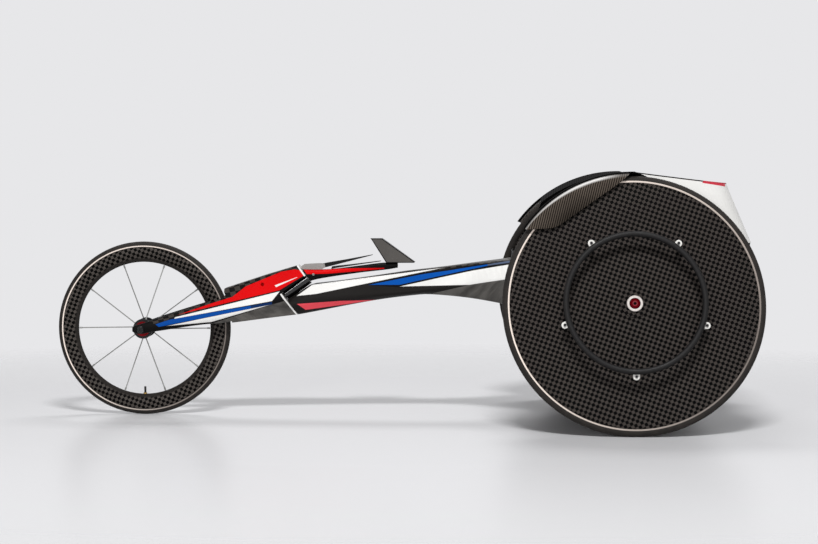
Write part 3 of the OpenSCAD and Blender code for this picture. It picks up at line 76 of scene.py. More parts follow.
def add(tree, kind, links=None, out=0, **settings):
    """Adds a node and gives one of its outputs; links has a value or another output for each input.

    By place, a MapRange takes value, low, high, and low and high of the result as 0 to 4. A Mix of
    colours takes share, first and second as 0, 6 and 7, and gives its colour as output 2.
    """
    node = tree.nodes.new("ShaderNode" + kind)
    for name, value in settings.items():
        setattr(node, name, value)
    for name, value in (links or {}).items():
        if isinstance(value, bpy.types.NodeSocket):
            tree.links.new(value, node.inputs[name])
        else:
            node.inputs[name].default_value = value
    return node.outputs[out]


def new_finish(name, **constants):
    """A material, its node tree and its shader, with the values that are the same all over."""
    material = bpy.data.materials.new(name)
    material.use_nodes = True
    tree = material.node_tree
    shader = tree.nodes["Principled BSDF"]
    for socket, value in constants.items():
        shader.inputs[socket.replace("_", " ")].default_value = value
    return material, tree, shader


def join(tree, shader, **outputs):
    """Links outputs of nodes to the shader's sockets, whose names have _ for a space."""
    for socket, output in outputs.items():
        tree.links.new(output, shader.inputs[socket.replace("_", " ")])


# Nearly all of a noise lies between these limits, which are inputs of a MapRange as all limits below
NOISE_RANGE = {1: 0.3, 2: 0.7}
NOISE_DETAIL = 3.0
# The wave texture repeats at this distance at scale 1
WAVE_MM = 314


def wheel_place(tree, hub, lean, point=None):
    """A point in a wheel's own frame: x to the rear and y up in its plane, z along its axle."""
    point = point or add(tree, "TexCoord", out="Object")
    from_hub = add(tree, "VectorMath", {0: point, 1: hub}, operation="SUBTRACT")
    return add(tree, "Mapping", {"Vector": from_hub, "Rotation": (lean - math.pi / 2, 0, 0)})


def axle_reach(tree, place):
    """Distance of a wheel's point from its axle."""
    in_plane = add(tree, "VectorMath", {0: place, 1: (1, 1, 0)}, operation="MULTIPLY")
    return add(tree, "VectorMath", {0: in_plane}, 1, operation="LENGTH")


# Streaks of the fibres in a tape: their size along and across it, and how far they shade it
STREAK_SCALES = [(0.6, 7, 1), (7, 0.6, 1)]
FIBRE_TONES = [(0.6,) * 3, (1.45,) * 3]


def tape_weave(tree, place, tape_mm, slant, dark, pale):
    """Colour of a plain weave of flat fibre tapes, and its checks as 0 or 1."""
    turned = add(tree, "Mapping", {"Vector": place, "Rotation": (0, 0, slant)})
    per_tape = PER_MM / tape_mm
    # all points lie half way up one layer of checks
    flat = {"Vector": turned, "Scale": (per_tape, per_tape, 0), "Location": (0, 0, 0.5)}
    cells = add(tree, "Mapping", flat)
    checks = add(tree, "TexChecker", {"Vector": cells, "Scale": 1.0}, "Fac")
    # the fibres run along each tape, so their streaks turn from check to check
    drawn = [add(tree, "Mapping", {"Vector": cells, "Scale": scale}) for scale in STREAK_SCALES]
    along, across = [add(tree, "TexNoise", {"Vector": v, "Scale": 1.0, "Detail": 2.0}, "Fac") for v in drawn]
    fibres = add(tree, "Mix", {0: checks, 2: along, 3: across})
    tapes = add(tree, "Mix", {0: checks, 6: srgb(dark), 7: srgb(pale)}, 2, data_type="RGBA")
    darker, lighter = [add(tree, "VectorMath", {0: tapes, 1: tone}, operation="MULTIPLY")
                       for tone in FIBRE_TONES]
    return add(tree, "Mix", {0: fibres, 6: darker, 7: lighter}, 2, data_type="RGBA"), checks


# Spread-tow carbon laminate, wet-laid under a thin satin clear coat: flat tapes about 8 mm wide in a
# plain weave, black where the fibres turn away from the light and grey where they face it.
TAPE_MM = 8.3
TAPE_SLANT = math.radians(-25)
TAPE_DARK = "#020202"
TAPE_PALE = "#3F3A37"
RIM_TAPE_PALE = "#4C4743"
TAPE_GLOSS = {3: 0.5, 4: 0.34}
TAPE_RELIEF = {"Distance": 0.05 * MM, "Strength": 0.25}
ROLLED_EDGE = "#2B2826"
RIM_EDGE_R = 191 * MM
EDGE_BLEND = 3 * MM


def spread_tow_carbon(name, hub, lean, pale=TAPE_PALE, plain_within=0.0):
    """plain_within is the radius inside which a rolled edge shows no weave."""
    material, tree, shader = new_finish(name, IOR=1.5, Specular_IOR_Level=0.03)
    place = wheel_place(tree, hub, lean)
    colour, checks = tape_weave(tree, place, TAPE_MM, TAPE_SLANT, TAPE_DARK, pale)
    if plain_within:
        edge = {1: plain_within - EDGE_BLEND, 2: plain_within + EDGE_BLEND}
        woven = add(tree, "MapRange", {0: axle_reach(tree, place), **edge})
        colour = add(tree, "Mix", {0: woven, 6: srgb(ROLLED_EDGE), 7: colour}, 2, data_type="RGBA")
    rough = add(tree, "MapRange", {0: checks, **TAPE_GLOSS})
    relief = add(tree, "Bump", {"Height": checks, **TAPE_RELIEF})
    join(tree, shader, Base_Color=colour, Roughness=rough, Normal=relief)
    return material


# Twill carbon laminate under clear coat: its diagonal ribs are about 2 mm apart in the cloth, drawn
# at 5.5 mm here so that they show, grey-brown where they catch the light.
TWILL_MM = 5.5
TWILL_LEAN = math.radians(-14)
TUB_DARK = "#161515"
TUB_PALE = "#2E2C2A"
LEAF_DARK = "#0A0807"
LEAF_PALE = "#5C534B"
TWILL_CLOUD_MM = 60
TWILL_SHADE = {3: 0.78, 4: 1.15}
TWILL_GLOSS = {3: 0.46, 4: 0.32}
TWILL_RELIEF = {"Distance": 0.12 * MM, "Strength": 0.4}

# A fender's leaf in its wheel's frame: its foot, where painted shade darkens it, the fold along its top, and
# where a white painted highlight lies along that fold
LEAF_FOOT_R = 270 * MM
FOLD_R = 337 * MM
FOLD_OUT = 17 * MM
LEAF_PAINTED_SHADE = {3: 0.4, 4: 1.6}
FOLD_HEIGHTS = {1: 210 * MM, 2: 300 * MM}
FOLD_STARTS = {3: FOLD_R - 5 * MM, 4: FOLD_R - 10 * MM}
FOLD_BRIGHT_R = FOLD_R - 4 * MM
FOLD_BLACK_R = FOLD_R - 3 * MM
FOLD_HIGHLIGHT_SHARE = {3: 0.3, 4: 1.0}
FOLD_REAR_END = {1: -85 * MM, 2: -30 * MM, 3: 1.0, 4: 0.1}
FOLD_HIGHLIGHT = "#F2F0ED"
ROLL_BLACK = "#0B0A0A"


def folded_leaf(tree, colour, hub, lean, side):
    """Twill of a fender, black inside its fold, with painted shade towards its foot and a white painted
    highlight along the fold, strongest near the top and faint at the rear.
    """
    place = wheel_place(tree, hub, lean)
    out = add(tree, "VectorMath", {0: place, 1: (0, 0, side)}, 1, operation="DOT_PRODUCT")
    reach = axle_reach(tree, place)
    # painted shade: the leaf darkens towards its foot and lightens towards the fold
    shade = add(tree, "MapRange", {0: reach, 1: LEAF_FOOT_R, 2: FOLD_R, **LEAF_PAINTED_SHADE})
    colour = add(tree, "VectorMath", {0: colour, "Scale": shade}, operation="SCALE")
    # painted highlight along the fold: white, strongest near the top and fading towards the rear end
    along, height, _ = add(tree, "SeparateXYZ", {0: place}).node.outputs
    rear_end = add(tree, "MapRange", {0: along, **FOLD_REAR_END})
    highlight_by_height = add(tree, "MapRange", {0: height, **FOLD_HEIGHTS, **FOLD_HIGHLIGHT_SHARE})
    polish = add(tree, "Math", {0: highlight_by_height, 1: rear_end}, operation="MULTIPLY")
    start = add(tree, "MapRange", {0: height, **FOLD_HEIGHTS, **FOLD_STARTS})
    on_fold = add(tree, "MapRange", {0: reach, 1: start, 2: FOLD_BRIGHT_R})
    bright = add(tree, "Math", {0: on_fold, 1: polish}, operation="MULTIPLY")
    rolled = add(tree, "MapRange", {0: reach, 1: FOLD_BLACK_R, 2: FOLD_R})
    inside = add(tree, "MapRange", {0: out, 1: FOLD_OUT + MM, 2: FOLD_OUT - MM})
    for share, paint in ((bright, FOLD_HIGHLIGHT), (rolled, ROLL_BLACK), (inside, ROLL_BLACK)):
        colour = add(tree, "Mix", {0: share, 6: colour, 7: srgb(paint)}, 2, data_type="RGBA")
    return colour


def twill_carbon(name, dark, pale, fender=None):
    """fender is (hub, lean, side) of its wheel; side is the sign of the wheel's outer side."""
    coat = {"IOR": 1.5, "Coat_Weight": 0.01, "Coat_Roughness": 0.1, "Specular_IOR_Level": 0.004}
    material, tree, shader = new_finish(name, **coat)
    turn = {"Vector": add(tree, "TexCoord", out="Object"), "Rotation": (0, TWILL_LEAN, 0)}
    place = add(tree, "Mapping", turn)
    ribs = {"Vector": place, "Scale": WAVE_MM / TWILL_MM, "Distortion": 0.4, "Detail": 1.0}
    waves = add(tree, "TexWave", ribs, "Fac", bands_direction="X")
    spots = {"Vector": place, "Scale": PER_MM / TWILL_CLOUD_MM, "Detail": NOISE_DETAIL}
    cloud = add(tree, "TexNoise", spots, "Fac")
    ribbed = add(tree, "Mix", {0: waves, 6: srgb(dark), 7: srgb(pale)}, 2, data_type="RGBA")
    shade = add(tree, "MapRange", {0: cloud, **NOISE_RANGE, **TWILL_SHADE})
    colour = add(tree, "VectorMath", {0: ribbed, "Scale": shade}, operation="SCALE")
    if fender:
        colour = folded_leaf(tree, colour, *fender)
    rough = add(tree, "MapRange", {0: waves, **TWILL_GLOSS})
    relief = add(tree, "Bump", {"Height": waves, **TWILL_RELIEF})
    join(tree, shader, Base_Color=colour, Roughness=rough, Normal=relief)
    return material


PAINT_EDGE = 0.5 * MM


def painted(tree, point, outline_mm):
    """1 inside a convex outline seen from the side, its points (x, z) running clockwise."""
    inside = None
    for (x0, z0), (x1, z1) in zip(outline_mm, outline_mm[1:] + outline_mm[:1]):
        length = math.hypot(x1 - x0, z1 - z0)
        normal_x, normal_z = (z1 - z0) / length, (x0 - x1) / length
        line = (normal_x, -(normal_x * x0 + normal_z * z0) * MM, normal_z)
        depth = add(tree, "VectorMath", {0: point, 1: line}, 1, operation="DOT_PRODUCT")
        if inside is not None:
            depth = add(tree, "Math", {0: inside, 1: depth}, operation="MINIMUM")
        inside = depth
    return add(tree, "MapRange", {0: inside, 1: -PAINT_EDGE, 2: PAINT_EDGE})


# Lacquered carbon shell: stripes masked and sprayed on the bare laminate, then clear-coated and
# polished, so paint and weave share one gloss with a faint orange peel. The fairing's white gelcoat
# comes out of its mould with the same gloss.
# Among them, a thin white streak on the fork's red is a painted highlight, and the fin's black border is
# painted shade.
RED = "#DE0408"
PALE_RED = "#D63F4E"
BOOM_RED = "#FC5662"
WHITE = "#F5F4F1"
BLUE = "#00499E"
NAVY = "#0A2C5C"
BRIGHT_BLUE = "#0052AD"
FADED_BLUE = "#54617A"
BLACK = "#0A0909"
SATIN_BLACK = "#1F1D1C"
FIN_GREY = "#5A5754"
WEAVE = "bare weave"
SHELL_TAPE_MM = 15
SHELL_SLANT = math.radians(-14)
SHELL_DARK = "#0E0C0B"
SHELL_PALE = "#3E3935"
SATIN = "bare satin carbon"
SATIN_DARK = "#444240"
SATIN_PALE = "#6D6A66"
SATIN_STREAK_MM = 16
SATIN_STRETCH = (0.25, 1, 1)
SATIN_RANGE = {1: 0.35, 2: 0.65}
HAZE_MM = 90
HAZE_SHADE = {3: 0.93, 4: 1.03}
POLISH_MM = 25
POLISH_GLOSS = {3: 0.28, 4: 0.42}
PEEL_MM = 2.5
PEEL_RELIEF = {"Distance": 0.02 * MM, "Strength": 0.3}


def lacquered_shell(name, stripes, base=BLACK):
    """stripes are (colour, outline) pairs in the order of spraying; WEAVE and SATIN stay unpainted."""
    coat = {"IOR": 1.5, "Coat_Weight": 0.08, "Coat_Roughness": 0.04, "Specular_IOR_Level": 0.04}
    material, tree, shader = new_finish(name, **coat)
    x, y, z = add(tree, "SeparateXYZ", {0: add(tree, "TexCoord", out="Object")}).node.outputs
    # a flat place for cloth laid round the shell: along it, and up its sides and on over its top
    aside = add(tree, "Math", {0: y}, operation="ABSOLUTE")
    over = add(tree, "Math", {0: z, 1: aside}, operation="SUBTRACT")
    place = add(tree, "CombineXYZ", {0: x, 1: over})
    # with 1 for y, the product with a line of the side view is the distance from it
    point = add(tree, "CombineXYZ", {0: x, 1: 1.0, 2: z})
    spots = {"Vector": place, "Detail": NOISE_DETAIL}
    colour = srgb(base)
    for paint, outline in stripes:
        if paint == WEAVE:
            layer = tape_weave(tree, place, SHELL_TAPE_MM, SHELL_SLANT, SHELL_DARK, SHELL_PALE)[0]
        elif paint == SATIN:
            drawn = add(tree, "Mapping", {"Vector": place, "Scale": SATIN_STRETCH})
            fine = {"Vector": drawn, "Scale": PER_MM / SATIN_STREAK_MM, "Detail": NOISE_DETAIL}
            streaks = add(tree, "MapRange", {0: add(tree, "TexNoise", fine, "Fac"), **SATIN_RANGE})
            satin = {0: streaks, 6: srgb(SATIN_DARK), 7: srgb(SATIN_PALE)}
            layer = add(tree, "Mix", satin, 2, data_type="RGBA")
        else:
            layer = srgb(paint)
        share = painted(tree, point, outline)
        colour = add(tree, "Mix", {0: share, 6: colour, 7: layer}, 2, data_type="RGBA")
    clouds = add(tree, "TexNoise", {**spots, "Scale": PER_MM / HAZE_MM}, "Fac")
    haze = add(tree, "MapRange", {0: clouds, **NOISE_RANGE, **HAZE_SHADE})
    toned = add(tree, "VectorMath", {0: colour, "Scale": haze}, operation="SCALE")
    polish = add(tree, "TexNoise", {**spots, "Scale": PER_MM / POLISH_MM}, "Fac")
    rough = add(tree, "MapRange", {0: polish, **POLISH_GLOSS})
    peel = add(tree, "TexNoise", {**spots, "Scale": PER_MM / PEEL_MM}, "Fac")
    relief = add(tree, "Bump", {"Height": peel, **PEEL_RELIEF})
    join(tree, shader, Base_Color=toned, Roughness=rough, Normal=relief)
    return material


# Stripes in millimetres in the part's frame, (x, z) seen from the side
FORK_STRIPES = [
    (SATIN, [(-523, 250), (-352, 304), (-313, 315), (-281, 274), (-300, 235), (-453, 235)]),
    (WEAVE, [(-481, 318), (-477, 350), (-276, 414), (-274, 396), (-452, 318)]),
    (WEAVE, [(-676, 259), (-506, 318), (-481, 323), (-499, 303), (-666, 253)]),
    (WHITE, [(-628, 248), (-530, 268.5), (-352, 305), (-512, 258)]),
    (WHITE, [(-609, 271), (-326, 341), (-347, 315), (-611, 267)]),
    (BLUE, [(-662, 252), (-622, 265), (-347, 312), (-347, 306), (-653, 245)]),
    (NAVY, [(-404, 302.3), (-347, 312), (-347, 306), (-404, 294.6)]),
    (RED, [(-597, 279), (-506, 310), (-454, 326), (-327, 344)]),
    (RED, [(-456, 325), (-419, 354), (-322, 394), (-287, 400), (-256, 396), (-256, 387), (-327, 344)]),
    # a thin white painted highlight across the red, where a glint runs along the shell
    (WHITE, [(-340, 357), (-279, 379.5), (-279, 378.5), (-336, 352.5)]),
    (WHITE, [(-259, 379.5), (-290, 421.5), (-286.5, 424), (-255.5, 382)]),
    (WHITE, [(-266.5, 253), (-325, 333), (-321.5, 335.5), (-263, 255.5)]),
]
TILLER_STRIPES = [
    (RED, [(-264, 399.5), (-113, 403), (-44, 404), (-44, 401), (-123, 394), (-199, 388), (-254, 387)]),
]
BOOM_STRIPES = [
    (WEAVE, [(75, 400), (111, 415), (303, 446), (303, 428), (191, 410.6), (75, 393)]),
    (WHITE, [(-281, 328), (-239, 358), (111, 404), (-228, 334)]),
    (BLACK, [(-92, 360), (75, 394), (122, 403), (122, 378), (0, 352), (-76, 357)]),
    (BLACK, [(119, 402.4), (303, 428.3), (303, 417), (119, 376)]),
    (BRIGHT_BLUE, [(-84, 358.6), (63, 388), (135, 398.4), (135, 389.5), (-2, 358.9)]),
    (BRIGHT_BLUE, [(134, 398.3), (237, 416.1), (237, 412.4), (134, 389.3)]),
    (FADED_BLUE, [(236, 416), (303, 428.3), (303, 423.3), (236, 412.3)]),
    (WHITE, [(0, 354.5), (198, 399.1), (311, 420.5), (311, 385), (187, 361), (85, 357)]),
    (BOOM_RED, [(-279, 307), (-163, 315), (-65, 317), (-169, 302), (-257, 290)]),
    (SATIN, [(88, 336), (187, 360.5), (311, 384.5), (311, 265), (88, 330)]),
]
# The fin is grey inside a black border: painted shade where its rounded edges turn from the light.
FIN_STRIPES = [
    (FIN_GREY, [(-37, 420), (-76.6, 481.3), (-50.5, 481.3), (35.4, 420)]),
]
FAIRING_STRIPES = [
    (PALE_RED, [(790, 636), (796, 645), (856, 634), (856, 626)]),
]
TRIM_STRIPES = [
    (PALE_RED, [(793, 620), (793, 680), (860, 680), (860, 600)]),
]


# Vulcanised rubber tyre with a file tread and a cream side line: matt, a little grey with road dust.
# The fine ribs of the tread are drawn 9 mm apart so that they show close up.
TYRE_BLACK = "#1E1B19"
TYRE_DUST = "#2E2A27"
DUST_MM = 18
DUST_RANGE = {1: 0.35, 2: 0.7}
DUST_GLOSS = {3: 0.62, 4: 0.8}
SIDE_LINE = "#FFF0E4"
# Painted shade on the side line: grey towards the rear and bottom of the wheel, cream towards its front and
# top
SHADED_LINE = "#7E756F"
LINE_EDGE = 0.4 * MM
LIT_TOWARDS = (-0.8, 0.55, 0)
LINE_SHADE_RANGE = (-0.9, 0.5)
TREAD_MM = 9
TREAD_RELIEF = {"Distance": 0.35 * MM, "Strength": 0.5}
CROWN_FROM = 7 * MM
CROWN_TO = 4 * MM
FRONT_TYRE = {"radius": 237 * MM, "line_radius": 224.5 * MM, "line_width": 3.0 * MM}
REAR_TYRE = {"radius": 334 * MM, "line_radius": 317.4 * MM, "line_width": 4.6 * MM}


def tyre_rubber(name, hub, lean, radius, line_radius, line_width, side=0):
    """The line runs round both walls of the tyre, or on its outer wall where side is that wall's sign."""
    material, tree, shader = new_finish(name, IOR=1.5, Specular_IOR_Level=0.2)
    place = wheel_place(tree, hub, lean)
    reach = axle_reach(tree, place)
    from_line = add(tree, "Math", {0: reach, 1: line_radius}, operation="SUBTRACT")
    off_line = add(tree, "Math", {0: from_line}, operation="ABSOLUTE")
    half = line_width / 2
    on_line = add(tree, "MapRange", {0: off_line, 1: half + LINE_EDGE, 2: half - LINE_EDGE})
    if side:
        out = add(tree, "VectorMath", {0: place, 1: (0, 0, side)}, 1, operation="DOT_PRODUCT")
        outer = add(tree, "MapRange", {0: out, 1: 0, 2: MM})
        on_line = add(tree, "Math", {0: on_line, 1: outer}, operation="MULTIPLY")
    # painted shade: the line is grey towards the rear and bottom of its round and pale towards the front and
    # top
    across = add(tree, "VectorMath", {0: place, 1: LIT_TOWARDS}, 1, operation="DOT_PRODUCT")
    shaded_end, lit_end = [share * line_radius for share in LINE_SHADE_RANGE]
    lit_share = add(tree, "MapRange", {0: across, 1: shaded_end, 2: lit_end})
    line = add(tree, "Mix", {0: lit_share, 6: srgb(SHADED_LINE), 7: srgb(SIDE_LINE)}, 2, data_type="RGBA")
    spots = {"Vector": place, "Scale": PER_MM / DUST_MM, "Detail": NOISE_DETAIL}
    dust = add(tree, "MapRange", {0: add(tree, "TexNoise", spots, "Fac"), **DUST_RANGE})
    rubber = add(tree, "Mix", {0: dust, 6: srgb(TYRE_BLACK), 7: srgb(TYRE_DUST)}, 2, data_type="RGBA")
    colour = add(tree, "Mix", {0: on_line, 6: rubber, 7: line}, 2, data_type="RGBA")
    rough = add(tree, "MapRange", {0: dust, **DUST_GLOSS})
    # ribs of the file tread round the crown of the tyre
    x, y, _ = add(tree, "SeparateXYZ", {0: place}).node.outputs
    angle = add(tree, "Math", {0: y, 1: x}, operation="ARCTAN2")
    ribs = add(tree, "Math", {0: angle, 1: radius / (TREAD_MM * MM) * 2 * math.pi}, operation="MULTIPLY")
    waves = add(tree, "Math", {0: ribs}, operation="SINE")
    crown = add(tree, "MapRange", {0: reach, 1: radius - CROWN_FROM, 2: radius - CROWN_TO})
    tread = add(tree, "Math", {0: waves, 1: crown}, operation="MULTIPLY")
    relief = add(tree, "Bump", {"Height": tread, **TREAD_RELIEF})
    join(tree, shader, Base_Color=colour, Roughness=rough, Normal=relief)
    return material


# Red anodised aluminium cap, turned: a black dot is painted where its key socket would be, as painted shade
# in the hollow, ringed by a paler painted highlight.
CAP_RED = "#480207"
CAP_HIGHLIGHT = "#7C3438"
SOCKET_R = 4.0 * MM
SOCKET_EDGE = 0.5 * MM
HIGHLIGHT_FROM = SOCKET_R + 3 * MM
HIGHLIGHT_TO = SOCKET_R + 1.5 * MM
TURNING_MM = 3
TURNING_GLOSS = {3: 0.28, 4: 0.4}
TURNING_RELIEF = {"Distance": 0.01 * MM, "Strength": 0.5}


def anodised_cap(name, hub, lean):
    """Finish of the caps on both sides; hub and lean are the right wheel's."""
    material, tree, shader = new_finish(name, Metallic=0.9, Specular_IOR_Level=0.05)
    either_side = add(tree, "VectorMath", {0: add(tree, "TexCoord", out="Object")}, operation="ABSOLUTE")
    reach = axle_reach(tree, wheel_place(tree, hub, lean, either_side))
    # painted highlight: a paler ring round the socket
    ring_highlight = add(tree, "MapRange", {0: reach, 1: HIGHLIGHT_FROM, 2: HIGHLIGHT_TO})
    metal = add(tree, "Mix", {0: ring_highlight, 6: srgb(CAP_RED), 7: srgb(CAP_HIGHLIGHT)}, 2, data_type="RGBA")
    # painted shade: a black dot for the socket's hollow
    socket = add(tree, "MapRange", {0: reach, 1: SOCKET_R + SOCKET_EDGE, 2: SOCKET_R - SOCKET_EDGE})
    colour = add(tree, "Mix", {0: socket, 6: metal, 7: srgb(BLACK)}, 2, data_type="RGBA")
    marks = {"Vector": either_side, "Scale": PER_MM / TURNING_MM, "Detail": NOISE_DETAIL}
    turning = add(tree, "TexNoise", marks, "Fac")
    rough = add(tree, "MapRange", {0: turning, **NOISE_RANGE, **TURNING_GLOSS})
    relief = add(tree, "Bump", {"Height": turning, **TURNING_RELIEF})
    join(tree, shader, Base_Color=colour, Roughness=rough, Normal=relief)
    return material


ROUGH_SPREAD = 0.15
GRAIN_PER_CLOUD = 12
GRAIN_STRENGTH = 0.5


def plain_finish(name, colour, cloud_mm, rough, grain_mm=0.0, spread=0.12, **constants):
    """A one-colour finish with shading in clouds cloud_mm across, uneven gloss and a grain grain_mm deep."""
    material, tree, shader = new_finish(name, **constants)
    spots = {"Vector": add(tree, "TexCoord", out="Object"), "Detail": NOISE_DETAIL}
    cloud = add(tree, "TexNoise", {**spots, "Scale": PER_MM / cloud_mm}, "Fac")
    tone = add(tree, "MapRange", {0: cloud, **NOISE_RANGE, 3: 1 - spread, 4: 1 + spread})
    toned = add(tree, "VectorMath", {0: srgb(colour)[:3], "Scale": tone}, operation="SCALE")
    gloss = {3: rough * (1 - ROUGH_SPREAD), 4: rough * (1 + ROUGH_SPREAD)}
    uneven = add(tree, "MapRange", {0: cloud, **NOISE_RANGE, **gloss})
    join(tree, shader, Base_Color=toned, Roughness=uneven)
    if grain_mm:
        fine = add(tree, "TexNoise", {**spots, "Scale": PER_MM / cloud_mm * GRAIN_PER_CLOUD}, "Fac")
        relief = {"Height": fine, "Distance": grain_mm * MM, "Strength": GRAIN_STRENGTH}
        join(tree, shader, Normal=add(tree, "Bump", relief))
    return material


# Metal and rubber with little pattern, so that clouds of shade, uneven gloss and a fine grain carry them.
# The numbers are the size of the clouds, the roughness and the depth of the grain.
# Turned aluminium, black anodised: the dyed skin dulls the metal to a soft black gloss.
BLACK_ANODISED = plain_finish("black_anodised_aluminium_turned", "#171718", 14, 0.36, 0.01, Metallic=0.6)
# Aluminium tube, lacquered and polished: black with long sharp glints.
BLACK_LACQUER = plain_finish("black_lacquered_aluminium_polished", "#0C0C0D", 30, 0.07, Coat_Weight=0.3)
# Turned aluminium, anodised in dark red: deep colour that still shines as metal.
DARK_RED_ANODISED = plain_finish("dark_red_anodised_aluminium", "#6E0A12", 10, 0.36, 0.01, Metallic=0.9)
# Milled aluminium left bare: grey, made satin by the marks of the cutter.
BRIGHT_ALUMINIUM = plain_finish("machined_aluminium_bracket", "#8C8986", 9, 0.5, 0.02, Metallic=0.6)
# Blasted aluminium, clear anodised: pale, with an even sheen.
PALE_ALUMINIUM = plain_finish("pale_anodised_aluminium_ring", "#C4BDB8", 9, 0.4, 0.01, Metallic=0.4)
# Drawn stainless steel: cool grey, smooth and bright.
STAINLESS = plain_finish("drawn_stainless_steel", "#8E8D8B", 8, 0.36, 0.01, Metallic=0.9)
# Steel blackened in oil: dark metal with little shine.
DARK_STEEL = plain_finish("blackened_steel_screws", "#2A2A2B", 6, 0.4, 0.01, Metallic=0.9)
# Turned brass: warm yellow metal.
BRASS = plain_finish("turned_brass_nut", "#B08D4A", 5, 0.32, 0.01, Metallic=1.0)
# Steel with baked powder paint: even white with a slight grain.
WHITE_COAT = plain_finish("white_powder_coated_steel", "#EDEBE6", 8, 0.42, 0.02, spread=0.05)
# Rubber bonded to the push rim: dull black, pebbled to hold a glove.
GRIP_RUBBER = plain_finish("bonded_grip_rubber", "#161515", 16, 0.5, 0.12, Specular_IOR_Level=0.2)
# Moulded rubber of the brake pads: matt dark grey.
PAD_RUBBER = plain_finish("moulded_brake_rubber", "#242424", 9, 0.7, 0.05)
# Carbon moulding without clear coat: satin black.
LEVER_CARBON = plain_finish("satin_carbon_moulding", "#0E0D0C", 24, 0.4, 0.01, Specular_IOR_Level=0.15)
# Drawn steel spokes: too thin for glints, so they show as even grey.
GREY_SPOKE = plain_finish("drawn_steel_spokes", "#8A8A88", 8, 0.5, Metallic=0.3)


# Knitted polyester over foam: matt, with crossing threads about 1.2 mm apart drawn at 3 mm, and a
# soft sheen at grazing angles.
THREAD_MM = 3.0
THREAD_RELIEF = {"Distance": 0.4 * MM, "Strength": 0.6}


def knitted_cover(name, dark, pale):
    """Pale where two threads cross and dark in the gaps."""
    sheen = {"Roughness": 0.9, "Sheen_Weight": 0.35, "Sheen_Roughness": 0.5, "Specular_IOR_Level": 0.2}
    material, tree, shader = new_finish(name, **sheen)
    place = add(tree, "TexCoord", out="Object")
    waves = {"Vector": place, "Scale": WAVE_MM / THREAD_MM, "Distortion": 0.6}
    rows, columns = [add(tree, "TexWave", waves, "Fac", bands_direction=axis) for axis in "XY"]
    threads = add(tree, "Math", {0: rows, 1: columns}, operation="MULTIPLY")
    colour = add(tree, "Mix", {0: threads, 6: srgb(dark), 7: srgb(pale)}, 2, data_type="RGBA")
    relief = add(tree, "Bump", {"Height": threads, **THREAD_RELIEF})
    join(tree, shader, Base_Color=colour, Normal=relief)
    return material


# Finishes of the solids
finishes = {
    "fork": lacquered_shell("lacquered_carbon_fork", FORK_STRIPES),
    "tiller": lacquered_shell("lacquered_carbon_tiller", TILLER_STRIPES),
    "boom": lacquered_shell("lacquered_carbon_boom", BOOM_STRIPES, SATIN_BLACK),
    "rear_fairing": lacquered_shell("white_gelcoat_fairing", FAIRING_STRIPES, WHITE),
    "fairing_trim": lacquered_shell("lacquered_edge_trim", TRIM_STRIPES),
    "steering_fin": lacquered_shell("satin_carbon_fin", FIN_STRIPES),
    "front_rim": spread_tow_carbon("spread_tow_carbon_front_rim", FRONT_HUB, 0, RIM_TAPE_PALE, RIM_EDGE_R),
    "front_tyre": tyre_rubber("tyre_rubber_front", FRONT_HUB, 0, **FRONT_TYRE),
    "axle_caps": anodised_cap("red_anodised_aluminium_caps", REAR_HUBS["right"], -CAMBER),
}
for side, sign in SIDES.items():
    hub, lean = REAR_HUBS[side], -sign * CAMBER
    finishes[f"disc_{side}"] = spread_tow_carbon(f"spread_tow_carbon_disc_{side}", hub, lean)
    finishes[f"hub_{side}"] = finishes[f"disc_{side}"]
    finishes[f"tyre_{side}"] = tyre_rubber(f"tyre_rubber_{side}", hub, lean, **REAR_TYRE, side=-sign)
    fender = (hub, lean, -sign)
    finishes[f"fender_{side}"] = twill_carbon(f"twill_carbon_fender_{side}", LEAF_DARK, LEAF_PALE, fender)

TUB_TWILL = twill_carbon("twill_carbon_tub", TUB_DARK, TUB_PALE)
SHARED_FINISHES = {
    BLACK_ANODISED: ["front_hub", "front_axle_nuts", "caliper_arm_left", "caliper_arm_right", "valve_stem"],
    BLACK_LACQUER: ["head_tube"],
    DARK_RED_ANODISED: ["front_hub_rings"],
    BRIGHT_ALUMINIUM: ["lever_bracket", "axle_tube_left", "axle_tube_right", "axle_plugs"],
    PALE_ALUMINIUM: ["hub_ring_left", "hub_ring_right"],
    STAINLESS: ["head_bearings", "axle_pins", "steerer_pin", "lever_pin", "front_axle", "caliper_bolt",
                "front_bearings", "hub_bearings_left", "hub_bearings_right", "tiller_screws"],
    GREY_SPOKE: ["front_spokes", "front_nipples"],
    DARK_STEEL: ["fender_screws", "tab_screws_left", "tab_screws_right"],
    BRASS: ["valve_nut"],
    WHITE_COAT: ["push_rim_tabs_left", "push_rim_tabs_right"],
    GRIP_RUBBER: ["push_rim_left", "push_rim_right"],
    PAD_RUBBER: ["brake_pad_left", "brake_pad_right"],
    LEVER_CARBON: ["steering_handle", "brake_lever"],
    TUB_TWILL: ["seat_tub", "axle_keel"],
}
for material, names in SHARED_FINISHES.items():
    for name in names:
        finishes[name] = material

SMOOTH_BELOW = math.radians(32)
for name, material in finishes.items():
    mesh = nodes[name].data
    mesh.materials.clear()
    mesh.materials.append(material)
    mesh.shade_smooth()
    mesh.set_sharp_from_angle(angle=SMOOTH_BELOW)
    even = nodes[name].modifiers.new("even_shading", "WEIGHTED_NORMAL")
    even.keep_sharp = True


# Padded pieces
VOXEL = 5 * MM
SHRINK = 5 * MM
SWELL_PRESSURE = 4
SWELL_CAP = 7 * MM
SWELL_FRAMES = 20
REST_BAND = 7 * MM


def evaluated_mesh(piece):
    """The piece's mesh with its modifiers, as a new mesh."""
    depsgraph = bpy.context.evaluated_depsgraph_get()
    return bpy.data.meshes.new_from_object(piece.evaluated_get(depsgraph))


